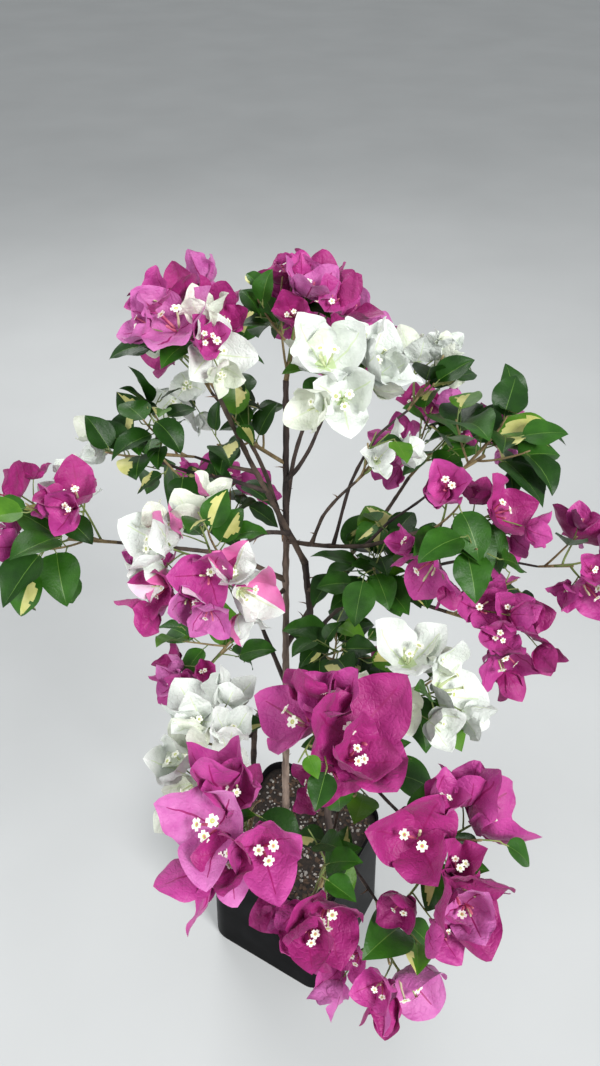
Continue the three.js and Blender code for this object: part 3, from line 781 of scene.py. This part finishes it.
# Bracts: the first materials of each colour are tints, and the rest are these marks on them.
BRACT_SKIN = dict(scale=70, bump=0.7, bump_scale=420, net=0.24, Sheen_Weight=0.1)
BRACT_VEIN = dict(scale=70, bump=0.2, bump_scale=380)
BRACT_STREAK = dict(scale=70, bump=0.45, bump_scale=380, Sheen_Weight=0.15)
PINK_FINISHES = [
    surface("bract_magenta", (147, 21, 102), (175, 39, 127), 0.55, **BRACT_SKIN),
    surface("bract_pink", (170, 45, 131), (195, 69, 152), 0.55, **BRACT_SKIN),
    surface("bract_lilac", (186, 82, 158), (211, 121, 186), 0.58, **BRACT_SKIN),
    surface("bract_pink_vein", (140, 18, 92), (166, 32, 114), 0.55, **BRACT_VEIN),
    surface("bract_pink_streak", (236, 208, 226), (244, 226, 238), 0.6, **BRACT_STREAK),
]
WHITE_FINISHES = [
    surface("bract_white", (220, 226, 219), (236, 240, 235), 0.6, **BRACT_SKIN),
    surface("bract_cream", (216, 222, 204), (232, 236, 222), 0.6, **BRACT_SKIN),
    surface("bract_white_vein", (206, 220, 184), (222, 232, 204), 0.6, **BRACT_VEIN),
    surface("bract_green_base", (190, 212, 156), (212, 226, 184), 0.6, **BRACT_VEIN),
    surface("bract_white_streak", (214, 92, 160), (228, 130, 186), 0.58, **BRACT_STREAK),
]
BRACT_TINTS = {"P": (0, 0, 1, 1, 1, 2), "W": (0, 0, 1)}
BRACT_VEIN_MARK = {"P": 3, "W": 2}
GREEN_BASE, STREAK = 3, 4

FLOWER_SKIN = dict(roughness=0.5, scale=200, bump=0.1, bump_scale=900)
FLOWER_FINISHES = [
    surface("flower_star", (240, 240, 224), (250, 250, 240), **FLOWER_SKIN),
    surface("flower_eye", (186, 196, 96), (214, 216, 130), **FLOWER_SKIN),
    surface("flower_tube_white", (196, 206, 150), (220, 226, 186), **FLOWER_SKIN),
    surface("flower_tube_pink", (196, 84, 122), (214, 128, 140), **FLOWER_SKIN),
]
STAR, EYE, PALE_TUBE, PINK_TUBE = range(4)

BARK = dict(roughness=0.86, scale=120, bump=1.4, bump_scale=260, stretch=(1, 1, 0.18))
WOOD_FINISHES = [
    surface("bark_grey", (78, 62, 54), (156, 136, 122), **BARK),
    surface("bark_dark", (34, 28, 27), (82, 68, 62), **BARK),
    surface("bark_bough", (48, 39, 34), (98, 82, 70), 0.82, 150, 0.9, 300, (0.5, 0.5, 0.5)),
    surface("bark_twig", (112, 92, 62), (158, 140, 98), 0.7, 150, 0.5, 400),
    surface("thorn", (88, 62, 48), (132, 100, 70), 0.5, 200, 0.2, 500),
]
GREY, DARK, BOUGH, TWIG, THORN = range(5)

POT_FINISHES = [
    surface("pot_black_plastic", (12, 12, 13), (22, 22, 24), 0.3, 30, 0.1, 300, Specular_IOR_Level=0.012),
    surface("pot_worn_edge", (92, 88, 84), (150, 146, 138), 0.6, 160, 0.3, 500),
]
PLASTIC, WORN = range(2)
SOIL_FINISH = surface("potting_mix", (16, 12, 10), (44, 34, 27), 0.95, 180, 1.6, 320)
GRAVEL_FINISHES = [
    surface("gravel_pale", (150, 146, 138), (196, 192, 184), 0.85, 250, 0.5, 700),
    surface("gravel_grey", (104, 100, 96), (146, 140, 134), 0.85, 250, 0.5, 700),
    surface("bark_chip", (40, 29, 21), (74, 54, 38), 0.9, 250, 0.6, 500),
]
CHIP = 2


# ---------- pot, potting mix and gravel ----------
CORNER_STEPS = 10
ROUND_STEPS = 6
POT_UNDER = 2.2  # how far the underside is recessed
POT_UNDER_HALVES = (POT_HALF_BASE * 0.45, POT_HALF_BASE - POT_CORNER * 0.45)
POT_FOOT = ((POT_HALF_BASE - 9, 1.6), (POT_HALF_BASE - 7.4, 0.0))
POT_WALL_RINGS = (7.6, 40, 80, 120, 160, POT_HEIGHT - 9)
POT_BEAD, POT_BEAD_HALF_HEIGHT = 1.1, 3.5
POT_LIP_DROP = 0.8
POT_INNER_RINGS = (POT_HEIGHT - 6, SOIL_TOP - 14)
POT_TIGHTEST_CORNER = 4
POT_WORN_ROWS = (5, 6, 7)


def rounded_square(half, corner, z):
    ring = []
    for quarter in range(4):
        turn = quarter * pi / 2 + POT_YAW
        middle = np.array([half - corner, half - corner])
        for step in range(CORNER_STEPS + 1):
            angle = step / CORNER_STEPS * pi / 2
            x, y = middle + corner * np.array([cos(angle), sin(angle)])
            ring.append((*turned(x, y, turn), z))
    return np.array(ring)


def pot_half(z):
    return between(POT_HALF_BASE, POT_HALF_RIM, z / POT_HEIGHT)


def pot_profile():
    """Half widths and heights, from the underside's middle round the foot, up the wall and inside."""
    profile = [(half, POT_UNDER) for half in POT_UNDER_HALVES] + list(POT_FOOT)
    for step in range(ROUND_STEPS + 1):
        angle = step / ROUND_STEPS * pi / 2
        half = POT_HALF_BASE - POT_EDGE + POT_EDGE * sin(angle)
        profile.append((half, POT_EDGE * (1 - cos(angle))))
    profile += [(pot_half(z), z) for z in POT_WALL_RINGS]
    for step in range(ROUND_STEPS + 1):
        angle = (step / ROUND_STEPS - 0.5) * pi
        z = POT_HEIGHT - POT_BEAD_HALF_HEIGHT + POT_BEAD_HALF_HEIGHT * sin(angle)
        profile.append((pot_half(POT_HEIGHT) + POT_BEAD * cos(angle), z))
    profile.append((pot_half(POT_HEIGHT) - POT_WALL, POT_HEIGHT - POT_LIP_DROP))
    return profile + [(pot_half(z) - POT_WALL, z) for z in POT_INNER_RINGS]


def build_pot():
    """A thin moulded shell: rounded foot, plain walls, a beaded rim and a recessed underside."""
    rings = []
    for half, z in pot_profile():
        corner = max(POT_CORNER - (pot_half(z) - half), POT_TIGHTEST_CORNER)
        rings.append(rounded_square(half, corner, z))
    size = len(rings[0])
    rows = np.repeat(np.arange(len(rings) - 1), size)
    sheaf = Sheaf()
    faces = grid_faces(len(rings), size, closed=True)
    sheaf.add(np.concatenate(rings), faces, np.where(np.isin(rows, POT_WORN_ROWS), WORN, PLASTIC))
    under = [((i + 1) % size, i, size) for i in range(size)]
    sheaf.add(np.concatenate([rings[0], [[0, 0, POT_UNDER]]]), under, PLASTIC)
    sheaf.piece("pot_shell", POT_FINISHES, "pot", ["pot"])


SOIL_RINGS = 34
SOIL_SWELLS, SOIL_SWELL = (5, 10, 26, 70), 1.3  # the ripple's seed, waves and wavelengths, its height
SOIL_LUMPS, SOIL_LUMP = (6, 14, 6, 14), 0.5
ICOSAHEDRON_EDGE = 1.1  # just over its edge, where its corners are 1 from its middle
GRAVEL_SEED = 21
GRAVEL_COUNT = 900
GRAVEL_INSET = 6
GRAVEL_OFF_STEMS = 11
GRAVEL_SHARES = (0.12, 0.33, 0.55)  # pale, grey, chips
GRAVEL_RISE = 0.35
GRIT_SIZES = (1.2, 3.2)
CHIP_SIZES = (2.2, 5)
CHIP_FLATNESS = 0.28


def ripple(x, y, seed, waves, low, high):
    """A smooth bumpy height made of a few seeded waves, whose lengths lie between low and high."""
    random = np.random.default_rng(seed)
    total = np.zeros_like(x)
    for _ in range(waves):
        length = random.uniform(low, high)
        angle, phase = random.uniform(0, tau, 2)
        total += np.sin((x * cos(angle) + y * sin(angle)) * tau / length + phase)
    return total / sqrt(waves)


def soil_height(x, y):
    """Broad swells and small lumps."""
    return SOIL_TOP + ripple(x, y, *SOIL_SWELLS) * SOIL_SWELL + ripple(x, y, *SOIL_LUMPS) * SOIL_LUMP


def build_soil():
    outline = rounded_square(pot_half(SOIL_TOP) - POT_WALL - GAP, POT_CORNER - POT_WALL, SOIL_TOP)
    rings = []
    for share in np.linspace(0.02, 1, SOIL_RINGS):
        ring = outline * (share, share, 1)
        ring[:, 2] = soil_height(ring[:, 0], ring[:, 1])
        rings.append(ring)
    bottom = POT_FLOOR + GAP
    rings.append(rounded_square(POT_HALF_BASE - POT_WALL - GAP, POT_CORNER - POT_WALL, bottom))
    points = np.concatenate(rings + [[(0, 0, SOIL_TOP), (0, 0, bottom)]])
    sheaf = Sheaf()
    sheaf.add(points, [face[::-1] for face in tube_faces(len(rings), len(outline))])
    sheaf.piece("potting_mix", [SOIL_FINISH], "soil", ["soil"])


def icosahedron():
    """Its 12 corners at a distance of 1 from the middle, and its 20 faces, which look outward."""
    golden = (1 + sqrt(5)) / 2
    corners = np.array([(0, s, t * golden) for s in (-1, 1) for t in (-1, 1)])
    corners = np.concatenate([np.roll(corners, shift, axis=1) for shift in range(3)])
    corners /= norm(corners[0])
    faces = []
    for face in itertools.combinations(range(len(corners)), 3):
        trio = corners[list(face)]
        if max(norm(trio - np.roll(trio, 1, axis=0), axis=1)) < ICOSAHEDRON_EDGE:
            outward = np.dot(np.cross(trio[1] - trio[0], trio[2] - trio[0]), trio[0]) > 0
            faces.append(face if outward else (face[0], face[2], face[1]))
    return corners, faces


def build_gravel():
    """Pale perlite, grey grit and chips of bark that lie half sunk in the mix."""
    random = np.random.default_rng(GRAVEL_SEED)
    corners, faces = icosahedron()
    sheaf = Sheaf()
    half = pot_half(SOIL_TOP) - POT_WALL - GRAVEL_INSET
    feet = [np.array(row["foot"][:2]) for row in STEMS.values()]
    for _ in range(GRAVEL_COUNT):
        x, y = random.uniform(-half, half, 2)
        if abs(x) + abs(y) > 2 * half - POT_CORNER * 0.7:
            continue
        spot = np.array(turned(x, y, POT_YAW))
        if min(norm(spot - foot) for foot in feet) < GRAVEL_OFF_STEMS:
            continue
        kind = random.choice(len(GRAVEL_FINISHES), p=GRAVEL_SHARES)
        size = random.uniform(*(CHIP_SIZES if kind == CHIP else GRIT_SIZES))
        if kind == CHIP:
            squash = np.array([1, random.uniform(0.4, 0.7), CHIP_FLATNESS])
        else:
            squash = random.uniform(0.5, 1, 3)
        shape = corners * random.uniform(0.75, 1.2, (len(corners), 1)) * size * squash
        angle = random.uniform(0, tau)
        spin = [[cos(angle), sin(angle), 0], [-sin(angle), cos(angle), 0], [0, 0, 1]]
        height = soil_height(spot[:1], spot[1:])[0] + size * squash[2] * GRAVEL_RISE
        sheaf.add(shape @ np.array(spin) + (*spot, height), faces, kind)
    sheaf.piece("gravel", GRAVEL_FINISHES, "soil", ["soil"], smooth=False)


# ---------- stems and boughs ----------
# Ridges of bark: how many stand round the limb, their length along it, and their depth on its radius.
BARK_RIDGES = ((3, 95, 0.05), (5, 60, 0.045), (7, 34, 0.04), (2, 26, 0.03), (4, 13, 0.022))
BARK_SWAY = 1.6
KNOT_SPACING = 30
KNOT_SEEDS_FROM = 500
COLLAR_LENGTH, COLLAR_SWELL = 7, 0.3
STEM_BARK = dict(sides=26, spacing=3, relief=1.5, sunk=4)
BOUGH_BARK = dict(sides=14, spacing=3.5, relief=1.0)
OLD_BARK_TO = {"stem_left": 720, "stem_right": 0}  # heights
OLD_BARK_WANDER = 45
OLD_BARK_SEED = 31
STEM_SEEDS_FROM, BOUGH_BARK_SEEDS_FROM, THORN_SEED = 40, 60, 77
THORN_SPACING = 34
THORN_LENGTHS = (5, 11)
THORN_RADII = (0.85, 0.5, 0.08)


def bark_radii(limb, count, sides, seed, knots, relief):
    """The limb's radius on each ring and side: its taper, ridges along it, and knots at its buds."""
    random = np.random.default_rng(seed)
    shares = np.linspace(0, 1, count)
    angles = np.arange(sides) * tau / sides
    radius = np.array([limb.place(share)[2] for share in shares])
    along = shares[:, None] * limb.length()
    ridges = np.zeros((count, sides))
    for lobes, length, depth in BARK_RIDGES:
        phase, drift = random.uniform(0, tau, 2)
        sway = BARK_SWAY * np.sin(along * tau / length + drift)
        ridges += depth * np.sin(lobes * angles + phase + sway)
    swell = np.zeros((count, sides))
    for share in knots:
        side = random.uniform(0, tau)
        near = np.exp(-(((along - share * limb.length()) / random.uniform(3.2, 6)) ** 2))
        facing = 0.35 + 0.65 * np.clip(np.cos(angles - side), 0, 1) ** 2
        swell += random.uniform(0.16, 0.34) * near * facing
    return radius[:, None] * (1 + relief * ridges + swell)


def add_limb(sheaf, limb, seed, mark, sides, spacing, relief, sunk=0):
    """A limb in its bark. A stem is marked by height and sunk in the soil. A bough has a collar at
    its parent."""
    length = limb.length()
    count = max(8, int(length / spacing))
    random = np.random.default_rng(seed + KNOT_SEEDS_FROM)
    first = random.uniform(0.02, 0.06)
    knots = np.arange(first, 1, KNOT_SPACING / length) + random.uniform(-0.01, 0.01)
    radii = bark_radii(limb, count, sides, seed, knots, relief)
    centres = line_along(limb, count)
    if limb.name in STEMS:
        mark = stem_marks(centres, sides, OLD_BARK_TO[limb.name])
    if sunk:
        centres[0] = centres[0] - UP * sunk
    else:
        collar = np.exp(-np.linspace(0, length, count) / COLLAR_LENGTH)
        radii *= (1 + COLLAR_SWELL * collar)[:, None]
    add_tube(sheaf, centres, radii, sides, mark)


def stem_marks(centres, sides, old_to):
    """Old grey bark on a stem's lower part, young dark bark above it, with patches of both between."""
    random = np.random.default_rng(OLD_BARK_SEED)
    height = np.repeat((centres[:-1, 2] + centres[1:, 2]) / 2, sides)
    patch = np.repeat(random.uniform(-1, 1, (len(centres) - 1) // 3 + 1), 3)[: len(centres) - 1]
    return np.where(height + np.repeat(patch, sides) * OLD_BARK_WANDER < old_to, 0, 1)


def build_wood(limbs):
    for i, name in enumerate(STEMS):
        sheaf = Sheaf()
        add_limb(sheaf, limbs[name], STEM_SEEDS_FROM + i, 0, **STEM_BARK)
        sheaf.piece("bark_" + name, [WOOD_FINISHES[GREY], WOOD_FINISHES[DARK]], "bark", [name])
    boughs = [limb for name, limb in limbs.items() if name not in STEMS]
    sheaf = Sheaf()
    for i, limb in enumerate(boughs):
        add_limb(sheaf, limb, BOUGH_BARK_SEEDS_FROM + i, i % 2, **BOUGH_BARK)
    finishes, nodes = [WOOD_FINISHES[BOUGH], WOOD_FINISHES[DARK]], [limb.name for limb in boughs]
    sheaf.piece("bark_boughs", finishes, "bark", nodes)


def build_thorns(limbs):
    """Curved spines that stand at buds along the stems and boughs."""
    random = np.random.default_rng(THORN_SEED)
    sheaf = Sheaf()
    for limb in limbs.values():
        length = limb.length()
        for share in np.arange(0.12, 0.97, THORN_SPACING / length):
            if random.uniform() < 0.5:
                continue
            share = min(share + random.uniform(-8, 8) / length, 0.98)
            _, direction, radius = limb.place(share)
            outward = around(direction, random.uniform(0, tau))
            reach = random.uniform(*THORN_LENGTHS)
            root = limb.drawn(share) + outward * radius * 0.5
            tip = root + unit(outward + direction * 0.35) * reach
            waist = between(root, tip, 0.5) + direction * 0.5
            add_tube(sheaf, np.array([root, waist, tip]), THORN_RADII, 6)
    sheaf.piece("thorns", [WOOD_FINISHES[THORN]], "bark")


# ---------- leaves, bracts and flowers ----------
# A blade's cup, waves, relief and creases are shares of its length. Its bend, its twist and the turn
# of its tip are in radians. What stands under ranges is drawn for each blade.
BLADE_ROWS = 16
TIP_TURNS_FROM, TIP_TURNS_OVER = 0.55, 0.45
VEIN_SLANT = 0.3
COARSEST_CREASE, FULL_CREASE = 5, 5.5
LEAF_ACROSS = (-1, -0.86, -0.68, -0.48, -0.26, -0.02, 0.02, 0.26, 0.48, 0.68, 0.86, 1)
LEAF_SHAPE = dict(
    outline=(0.7, 0.86, 0.3, 5), cup=0, veins=5, relief=0.0035, creases=(2, 0.01, 6.5),
    ranges=dict(
        bend=(0.1, 0.9), fold=(0.12, 0.42), wave=(0.01, 0.035), waves=(3, 5), phase=(0, 6),
        twist=(-0.35, 0.35), tip=(0, 0.6),
    ),
)
LEAF_GROWN = (0.95, 1.12)  # the drawn blade's length and width, on the source's
LEAF_DRAWS = 8
LEAF_SHRINK = 0.06
LEAF_CROSSINGS = 9
BLADE_CELL = 3.0
PETIOLE = 0.13
VARIEGATED_SHARE = 0.18
BRACT_ACROSS = (-1, -0.86, -0.62, -0.38, -0.16, -0.035, 0.035, 0.16, 0.38, 0.62, 0.86, 1)
BRACT_SHAPE = dict(
    outline=(0.76, 0.58, 0.42, 6), relief=0.013, creases=(6, 0.03, 17),
    ranges=dict(
        bend=(-0.5, 0.3), fold=(-0.1, 0.25), cup=(0.05, 0.16), wave=(0.04, 0.1), waves=(2.5, 5.5),
        phase=(0, 6), veins=(3.5, 4.5), twist=(-0.6, 0.6), tip=(0.1, 1.2),
    ),
)
BRACT_GROWN = (1.06, 1.18)
MIXED_MASS = "middle_left_mixed"
STREAKED_SHARE = 0.4
FULL_BLOOM = 42
FLOWER_LARGEST = 1.1
FLOWER_LENGTHS = (13, 19)
BUD_SHARE = 0.38
BUD_RADII = (0.7, 1.15, 0.75, 1.2, 0.7)
TUBE_RADII = (0.7, 1.2, 0.8, 0.8, 1.05)
STAR_SIZES = (4.0, 4.9)
STAR_LOBES = 5
STAR_RIM = (0.58, 0.94, 0.88, 0.94)  # one lobe: its notch, side, point and side
STAR_RUFFLE = (0.35, 0.1, 0.9, 0.1)


def blade_outline(u, power, fullness, point, sharpness):
    """Half the width of a blade, from 0 to 1, at each share of its length."""
    return np.sin(pi * u**power) ** fullness * (1 - point * u**sharpness)


def blade_points(blade, across, shape):
    """A grid over a blade, with one point at its foot and one at its tip: its midrib bends and its tip
    turns back, it folds or cups, and it is creased."""
    u = np.linspace(0, 1, BLADE_ROWS)[:, None]
    v = np.asarray(across)[None, :]
    half = blade_outline(u, *shape["outline"]) * blade.width / 2
    belly = np.sin(pi * u**0.85)
    turning = np.clip((u - TIP_TURNS_FROM) / TIP_TURNS_OVER, 0, 1) ** 2
    angle = shape["bend"] * u + shape["tip"] * turning
    step = blade.length / (BLADE_ROWS - 1)
    forward = np.concatenate([[[0.0]], np.cumsum(np.cos(angle[:-1]), axis=0) * step])
    sink = np.concatenate([[[0.0]], np.cumsum(-np.sin(angle[:-1]), axis=0) * step])
    lift = shape["fold"] * np.abs(v) * half
    lift = lift - shape["cup"] * blade.length * belly * (1 - v**2)
    edge = np.sin(shape["waves"] * pi * u + shape["phase"] + 1.3 * (v > 0))
    lift = lift + shape["wave"] * blade.length * np.abs(v) ** 3 * edge * belly
    veins = np.cos(tau * shape["veins"] * (u - VEIN_SLANT * np.abs(v)))
    lift = lift + shape["relief"] * veins * (1 - np.abs(v)) * belly
    for turn, phase, pitch, depth in shape["creases"]:
        slant = u * cos(turn) + v * sin(turn)
        lift = lift + depth * blade.length * belly * np.sin(pitch * slant + phase)
    side = unit(np.cross(blade.direction, blade.normal))
    twist = (shape["twist"] * u)[..., None]
    face = blade.normal * np.cos(angle)[..., None] + blade.direction * np.sin(angle)[..., None]
    aside = side * np.cos(twist) + face * np.sin(twist)
    raised = face * np.cos(twist) - side * np.sin(twist)
    points = blade.root + blade.direction * forward[..., None] + blade.normal * sink[..., None]
    points = (points + aside * (v * half)[..., None] + raised * lift[..., None]).reshape(-1, 3)
    return points[len(across) - 1 : len(points) - len(across) + 1]


def creases(random, count, depth, finest):
    """Slanting ripples, the finer the shallower: each a turn, a phase, a pitch and a depth."""
    rows = []
    for _ in range(count):
        turn, phase = random.uniform(0, tau, 2)
        pitch = random.uniform(COARSEST_CREASE, finest)
        rows.append((turn, phase, pitch, depth * random.uniform(0.4, 1) * FULL_CREASE / pitch))
    return rows


def blade_faces(columns):
    """A blade's faces: a grid whose first row and last are each drawn together to one point."""
    last = (BLADE_ROWS - 2) * columns + 1
    grid = grid_faces(BLADE_ROWS, columns)
    faces = [[min(max(i - columns + 1, 0), last) for i in face] for face in grid]
    return [list(dict.fromkeys(face)) for face in faces]


def leaf_marks(random, tint, variegated):
    """A material for each face: the leaf's tint, a pale midrib, and on some leaves cream beside the
    midrib or along an edge."""
    strips = len(LEAF_ACROSS) - 1
    marks = np.full((BLADE_ROWS - 1, strips), tint)
    half = strips // 2
    if variegated:
        side, inward = random.choice([-1, 1]), random.uniform() < 0.7
        first, last = random.uniform(-1, 4), random.uniform(10, BLADE_ROWS)
        widest, wander = random.uniform(2.6, 4.8), random.uniform(0, 6)
        for row in range(BLADE_ROWS - 1):
            share = (row - first) / (last - first)
            if not 0 < share < 1:
                continue
            ragged = 0.86 + 0.14 * sin(row * 0.7 + wander)
            width = widest * sin(pi * share) ** 0.5 * ragged
            for step in range(1, min(round(width), half) + 1):
                marks[row, half + side * (step if inward else half + 1 - step)] = CREAM
    marks[: BLADE_ROWS - 2, half] = VEIN
    return marks.ravel()


def blade_shape(kind, length, random):
    """The kind's table with its ranges drawn, for a blade of this length."""
    drawn = {name: random.uniform(*ends) for name, ends in kind["ranges"].items()}
    relief, ripples = kind["relief"] * length, creases(random, *kind["creases"])
    return {**kind, **drawn, "relief": relief, "creases": ripples}


def add_leaf(leaves, stalks, leaf, random, tint, variegated, fills):
    """A leaf on its stalk, drawn so that it crosses no bract. One that always would is left out."""
    start = leaf.root + leaf.offset
    root = leaf.root + leaf.direction * leaf.length * PETIOLE
    for attempt in range(LEAF_DRAWS):
        size = 1 - attempt * LEAF_SHRINK
        blade = leaf.drawn_from(root, *LEAF_GROWN, size)
        points = blade_points(blade, LEAF_ACROSS, blade_shape(LEAF_SHAPE, blade.length, random))
        if not fills["bracts"].shared(points) and fills["leaves"].shared(points) <= LEAF_CROSSINGS:
            break
    else:
        return False
    fills["leaves"].add(points)
    leaves.add(points, blade_faces(len(LEAF_ACROSS)), leaf_marks(random, tint, variegated))
    bow = between(start, root, 0.5) - UP * 0.8
    add_tube(stalks, np.array([start, bow, root + leaf.direction * 1.5]), (0.75, 0.6, 0.55), 5)
    return True


def bract_marks(random, colour, tint, streaked):
    """A material for each face: the tint, the midrib, a white bract's green base, and a streak."""
    strips = len(BRACT_ACROSS) - 1
    marks = np.full((BLADE_ROWS - 1, strips), tint)
    marks[: BLADE_ROWS - 4, strips // 2] = BRACT_VEIN_MARK[colour]
    if colour == "W":
        marks[:2, 3:-3] = GREEN_BASE
    if streaked:
        side, width = random.choice([0, 1]), random.choice([3, 4, 5, 5])
        marks[:, slice(strips - width, None) if side else slice(0, width)] = STREAK
    return marks.ravel()


def add_bract(sheaf, bract, colour, tint, streaked, random):
    shape = blade_shape(BRACT_SHAPE, bract.length, random)
    points = blade_points(bract.drawn_from(bract.root, *BRACT_GROWN), BRACT_ACROSS, shape)
    sheaf.add(points, blade_faces(len(BRACT_ACROSS)), bract_marks(random, colour, tint, streaked))
    return points


def add_flower(sheaf, bloom, bract, random, scale):
    """A slim tube that stands on a bract's midrib, with an open star or a closed bud at its end."""
    root = bract.root + bract.direction * 2.5 * scale
    heading = unit(bloom.direction * 0.75 + bract.direction * 0.45 + random.uniform(-0.12, 0.12, 3))
    tip = root + heading * (random.uniform(*FLOWER_LENGTHS) * scale)
    bow = between(root, tip, 0.5) + bract.direction * 1.1
    centres = np.array([root, between(root, bow, 0.5), bow, between(bow, tip, 0.6), tip])
    tube = PALE_TUBE if bloom.colour == "W" or random.uniform() < 0.35 else PINK_TUBE
    if random.uniform() < BUD_SHARE:
        add_tube(sheaf, centres, np.array(BUD_RADII) * scale, 8, tube)
        return
    add_tube(sheaf, centres, np.array(TUBE_RADII) * scale, 8, tube)
    side, rise = cross_axes(heading)
    size = random.uniform(*STAR_SIZES) * scale
    spokes = STAR_LOBES * len(STAR_RIM)
    angles = np.arange(spokes) * tau / spokes + random.uniform(0, 1)
    rim = np.tile(STAR_RIM, STAR_LOBES) * size
    ruffle = np.tile(STAR_RUFFLE, STAR_LOBES) * 0.5 * scale
    spread = np.cos(angles)[:, None] * side + np.sin(angles)[:, None] * rise
    rings = [tip + heading * 0.05 + spread * 0.16 * size]
    rings.append(tip + heading * 0.5 * scale + spread * 0.34 * size)
    rings.append(tip + heading * 0.6 * scale + spread * (rim * 0.72)[:, None])
    rings.append(tip + heading * (0.5 * scale + ruffle)[:, None] + spread * rim[:, None])
    faces = grid_faces(len(rings), spokes, closed=True)
    marks = [EYE] * spokes + [STAR] * (len(faces) - spokes) + [EYE] * spokes
    middle = len(rings) * spokes
    faces += [(middle, i, (i + 1) % spokes) for i in range(spokes)]
    sheaf.add(np.concatenate(rings + [[tip - heading * 0.4]]), faces, marks)


def build_foliage(limbs, masses):
    leaves, stalks, twigs, flowers = (Sheaf() for _ in range(4))
    bracts = {"P": Sheaf(), "W": Sheaf()}
    fills = {"bracts": Filled(BLADE_CELL), "leaves": Filled(BLADE_CELL)}
    growths = [grow_mass(mass, list(limbs.values()), i) for i, mass in enumerate(masses)]
    for i, growth in enumerate(growths):
        random = np.random.default_rng([OWN_SEEDS.get(growth.mass.name, FOLIAGE_SEED), i])
        grow_finer(growth, random)
        add_thin_limb(twigs, growth.stem, 8, 9)
        for twig in growth.twigs:
            add_thin_limb(twigs, twig, 7, 7, 1 if twig.flowering else 0)
        mixed = growth.mass.name == MIXED_MASS
        for bloom in growth.blooms:
            tint = random.choice(BRACT_TINTS[bloom.colour])
            for bract in bloom.bracts:
                streaked = mixed and random.uniform() < STREAKED_SHARE
                points = add_bract(bracts[bloom.colour], bract, bloom.colour, tint, streaked, random)
                fills["bracts"].add(points)
                size = min(FLOWER_LARGEST, bloom.length / FULL_BLOOM)
                add_flower(flowers, bloom, bract, random, size)
    for i, growth in enumerate(growths):
        random = np.random.default_rng([LEAF_SEED, i])
        base_tint = random.choice([DEEP, MID, MID])
        for leaf in growth.leaves:
            tint = base_tint if random.uniform() < 0.6 else random.choice([DEEP, MID, LIGHT])
            variegated = random.uniform() < VARIEGATED_SHARE
            leaf.drawn = add_leaf(leaves, stalks, leaf, random, tint, variegated, fills)
        for shoot in growth.shoots:
            if not shoot.leaves or any(leaf.drawn for leaf in shoot.leaves):
                add_thin_limb(stalks, shoot, 5, 6)
    names = ["mass_" + mass.name for mass in masses]
    leaves.piece("leaves", LEAF_FINISHES, "leaves", names)
    stalks.piece("leaf_stalks", [LEAF_FINISHES[STALK]], "leaves", names)
    twigs.piece("twigs", [WOOD_FINISHES[TWIG], LEAF_FINISHES[STALK]], "bark", names)
    bracts["P"].piece("bracts_pink", PINK_FINISHES, "pink_bracts", names)
    bracts["W"].piece("bracts_white", WHITE_FINISHES, "white_bracts", names)
    flowers.piece("flowers", FLOWER_FINISHES, "flowers", names)


# ---------- floor, light and camera ----------
# The camera was solved from the pot's corners and the upright stems. Places are in metres.
CAMERA_PLACE = (0.004, -0.628, 1.235)
CAMERA_PITCH = 39.5  # degrees below level
CAMERA_LENS, CAMERA_SENSOR = 28.98, 36  # millimetres
CAMERA_SEES_TO = 100
FLOOR_REACH = 20
DAYLIGHT = (0.95, 0.98, 1.0, 1)
DAYLIGHT_STRENGTH = 0.5
LIGHT_AIM = (0, 0, 0.65)
LIGHTS = {  # place, watts, size
    "key": ((2.1, -2.5, 3.3), 160, 1.3),
    "fill": ((-1.9, -1.3, 1.7), 34, 1.6),
    "back": ((-0.6, 1.9, 2.1), 26, 1.3),
}


def build_studio():
    mesh = bpy.data.meshes.new("floor")
    corners = [(x * FLOOR_REACH, y * FLOOR_REACH, 0) for x, y in ((-1, -1), (1, -1), (1, 1), (-1, 1))]
    mesh.from_pydata(corners, [], [(0, 1, 2, 3)])
    mesh.materials.append(surface("floor_pale", (188, 190, 190), (194, 196, 196), 0.8, 2))
    floor = placed("floor", mesh)
    scene = bpy.context.scene
    scene.view_settings.view_transform = "Standard"
    scene.world = scene.world or bpy.data.worlds.new("studio")
    scene.world.use_nodes = True
    set_sockets(scene.world.node_tree.nodes["Background"], Color=DAYLIGHT, Strength=DAYLIGHT_STRENGTH)
    for name, (place, watts, size) in LIGHTS.items():
        light = bpy.data.lights.new(name, "AREA")
        light.energy, light.size = watts, size
        aim = unit(np.array(LIGHT_AIM) - np.array(place))
        turn = (acos(-aim[2]), 0, atan2(aim[1], aim[0]) - pi / 2)
        placed(name, light, place).rotation_euler = turn


def build_camera():
    camera = bpy.data.cameras.new("camera")
    camera.sensor_fit = "AUTO"
    camera.sensor_width = CAMERA_SENSOR
    camera.lens = CAMERA_LENS
    camera.clip_end = CAMERA_SEES_TO
    stand = placed("camera", camera, CAMERA_PLACE)
    stand.rotation_euler = (radians(90 - CAMERA_PITCH), 0, 0)
    bpy.context.scene.camera = stand


build_camera()
build_studio()
build_pot()
build_soil()
build_gravel()
limbs, masses = grow_plant()
build_wood(limbs)
build_thorns(limbs)
build_foliage(limbs, masses)
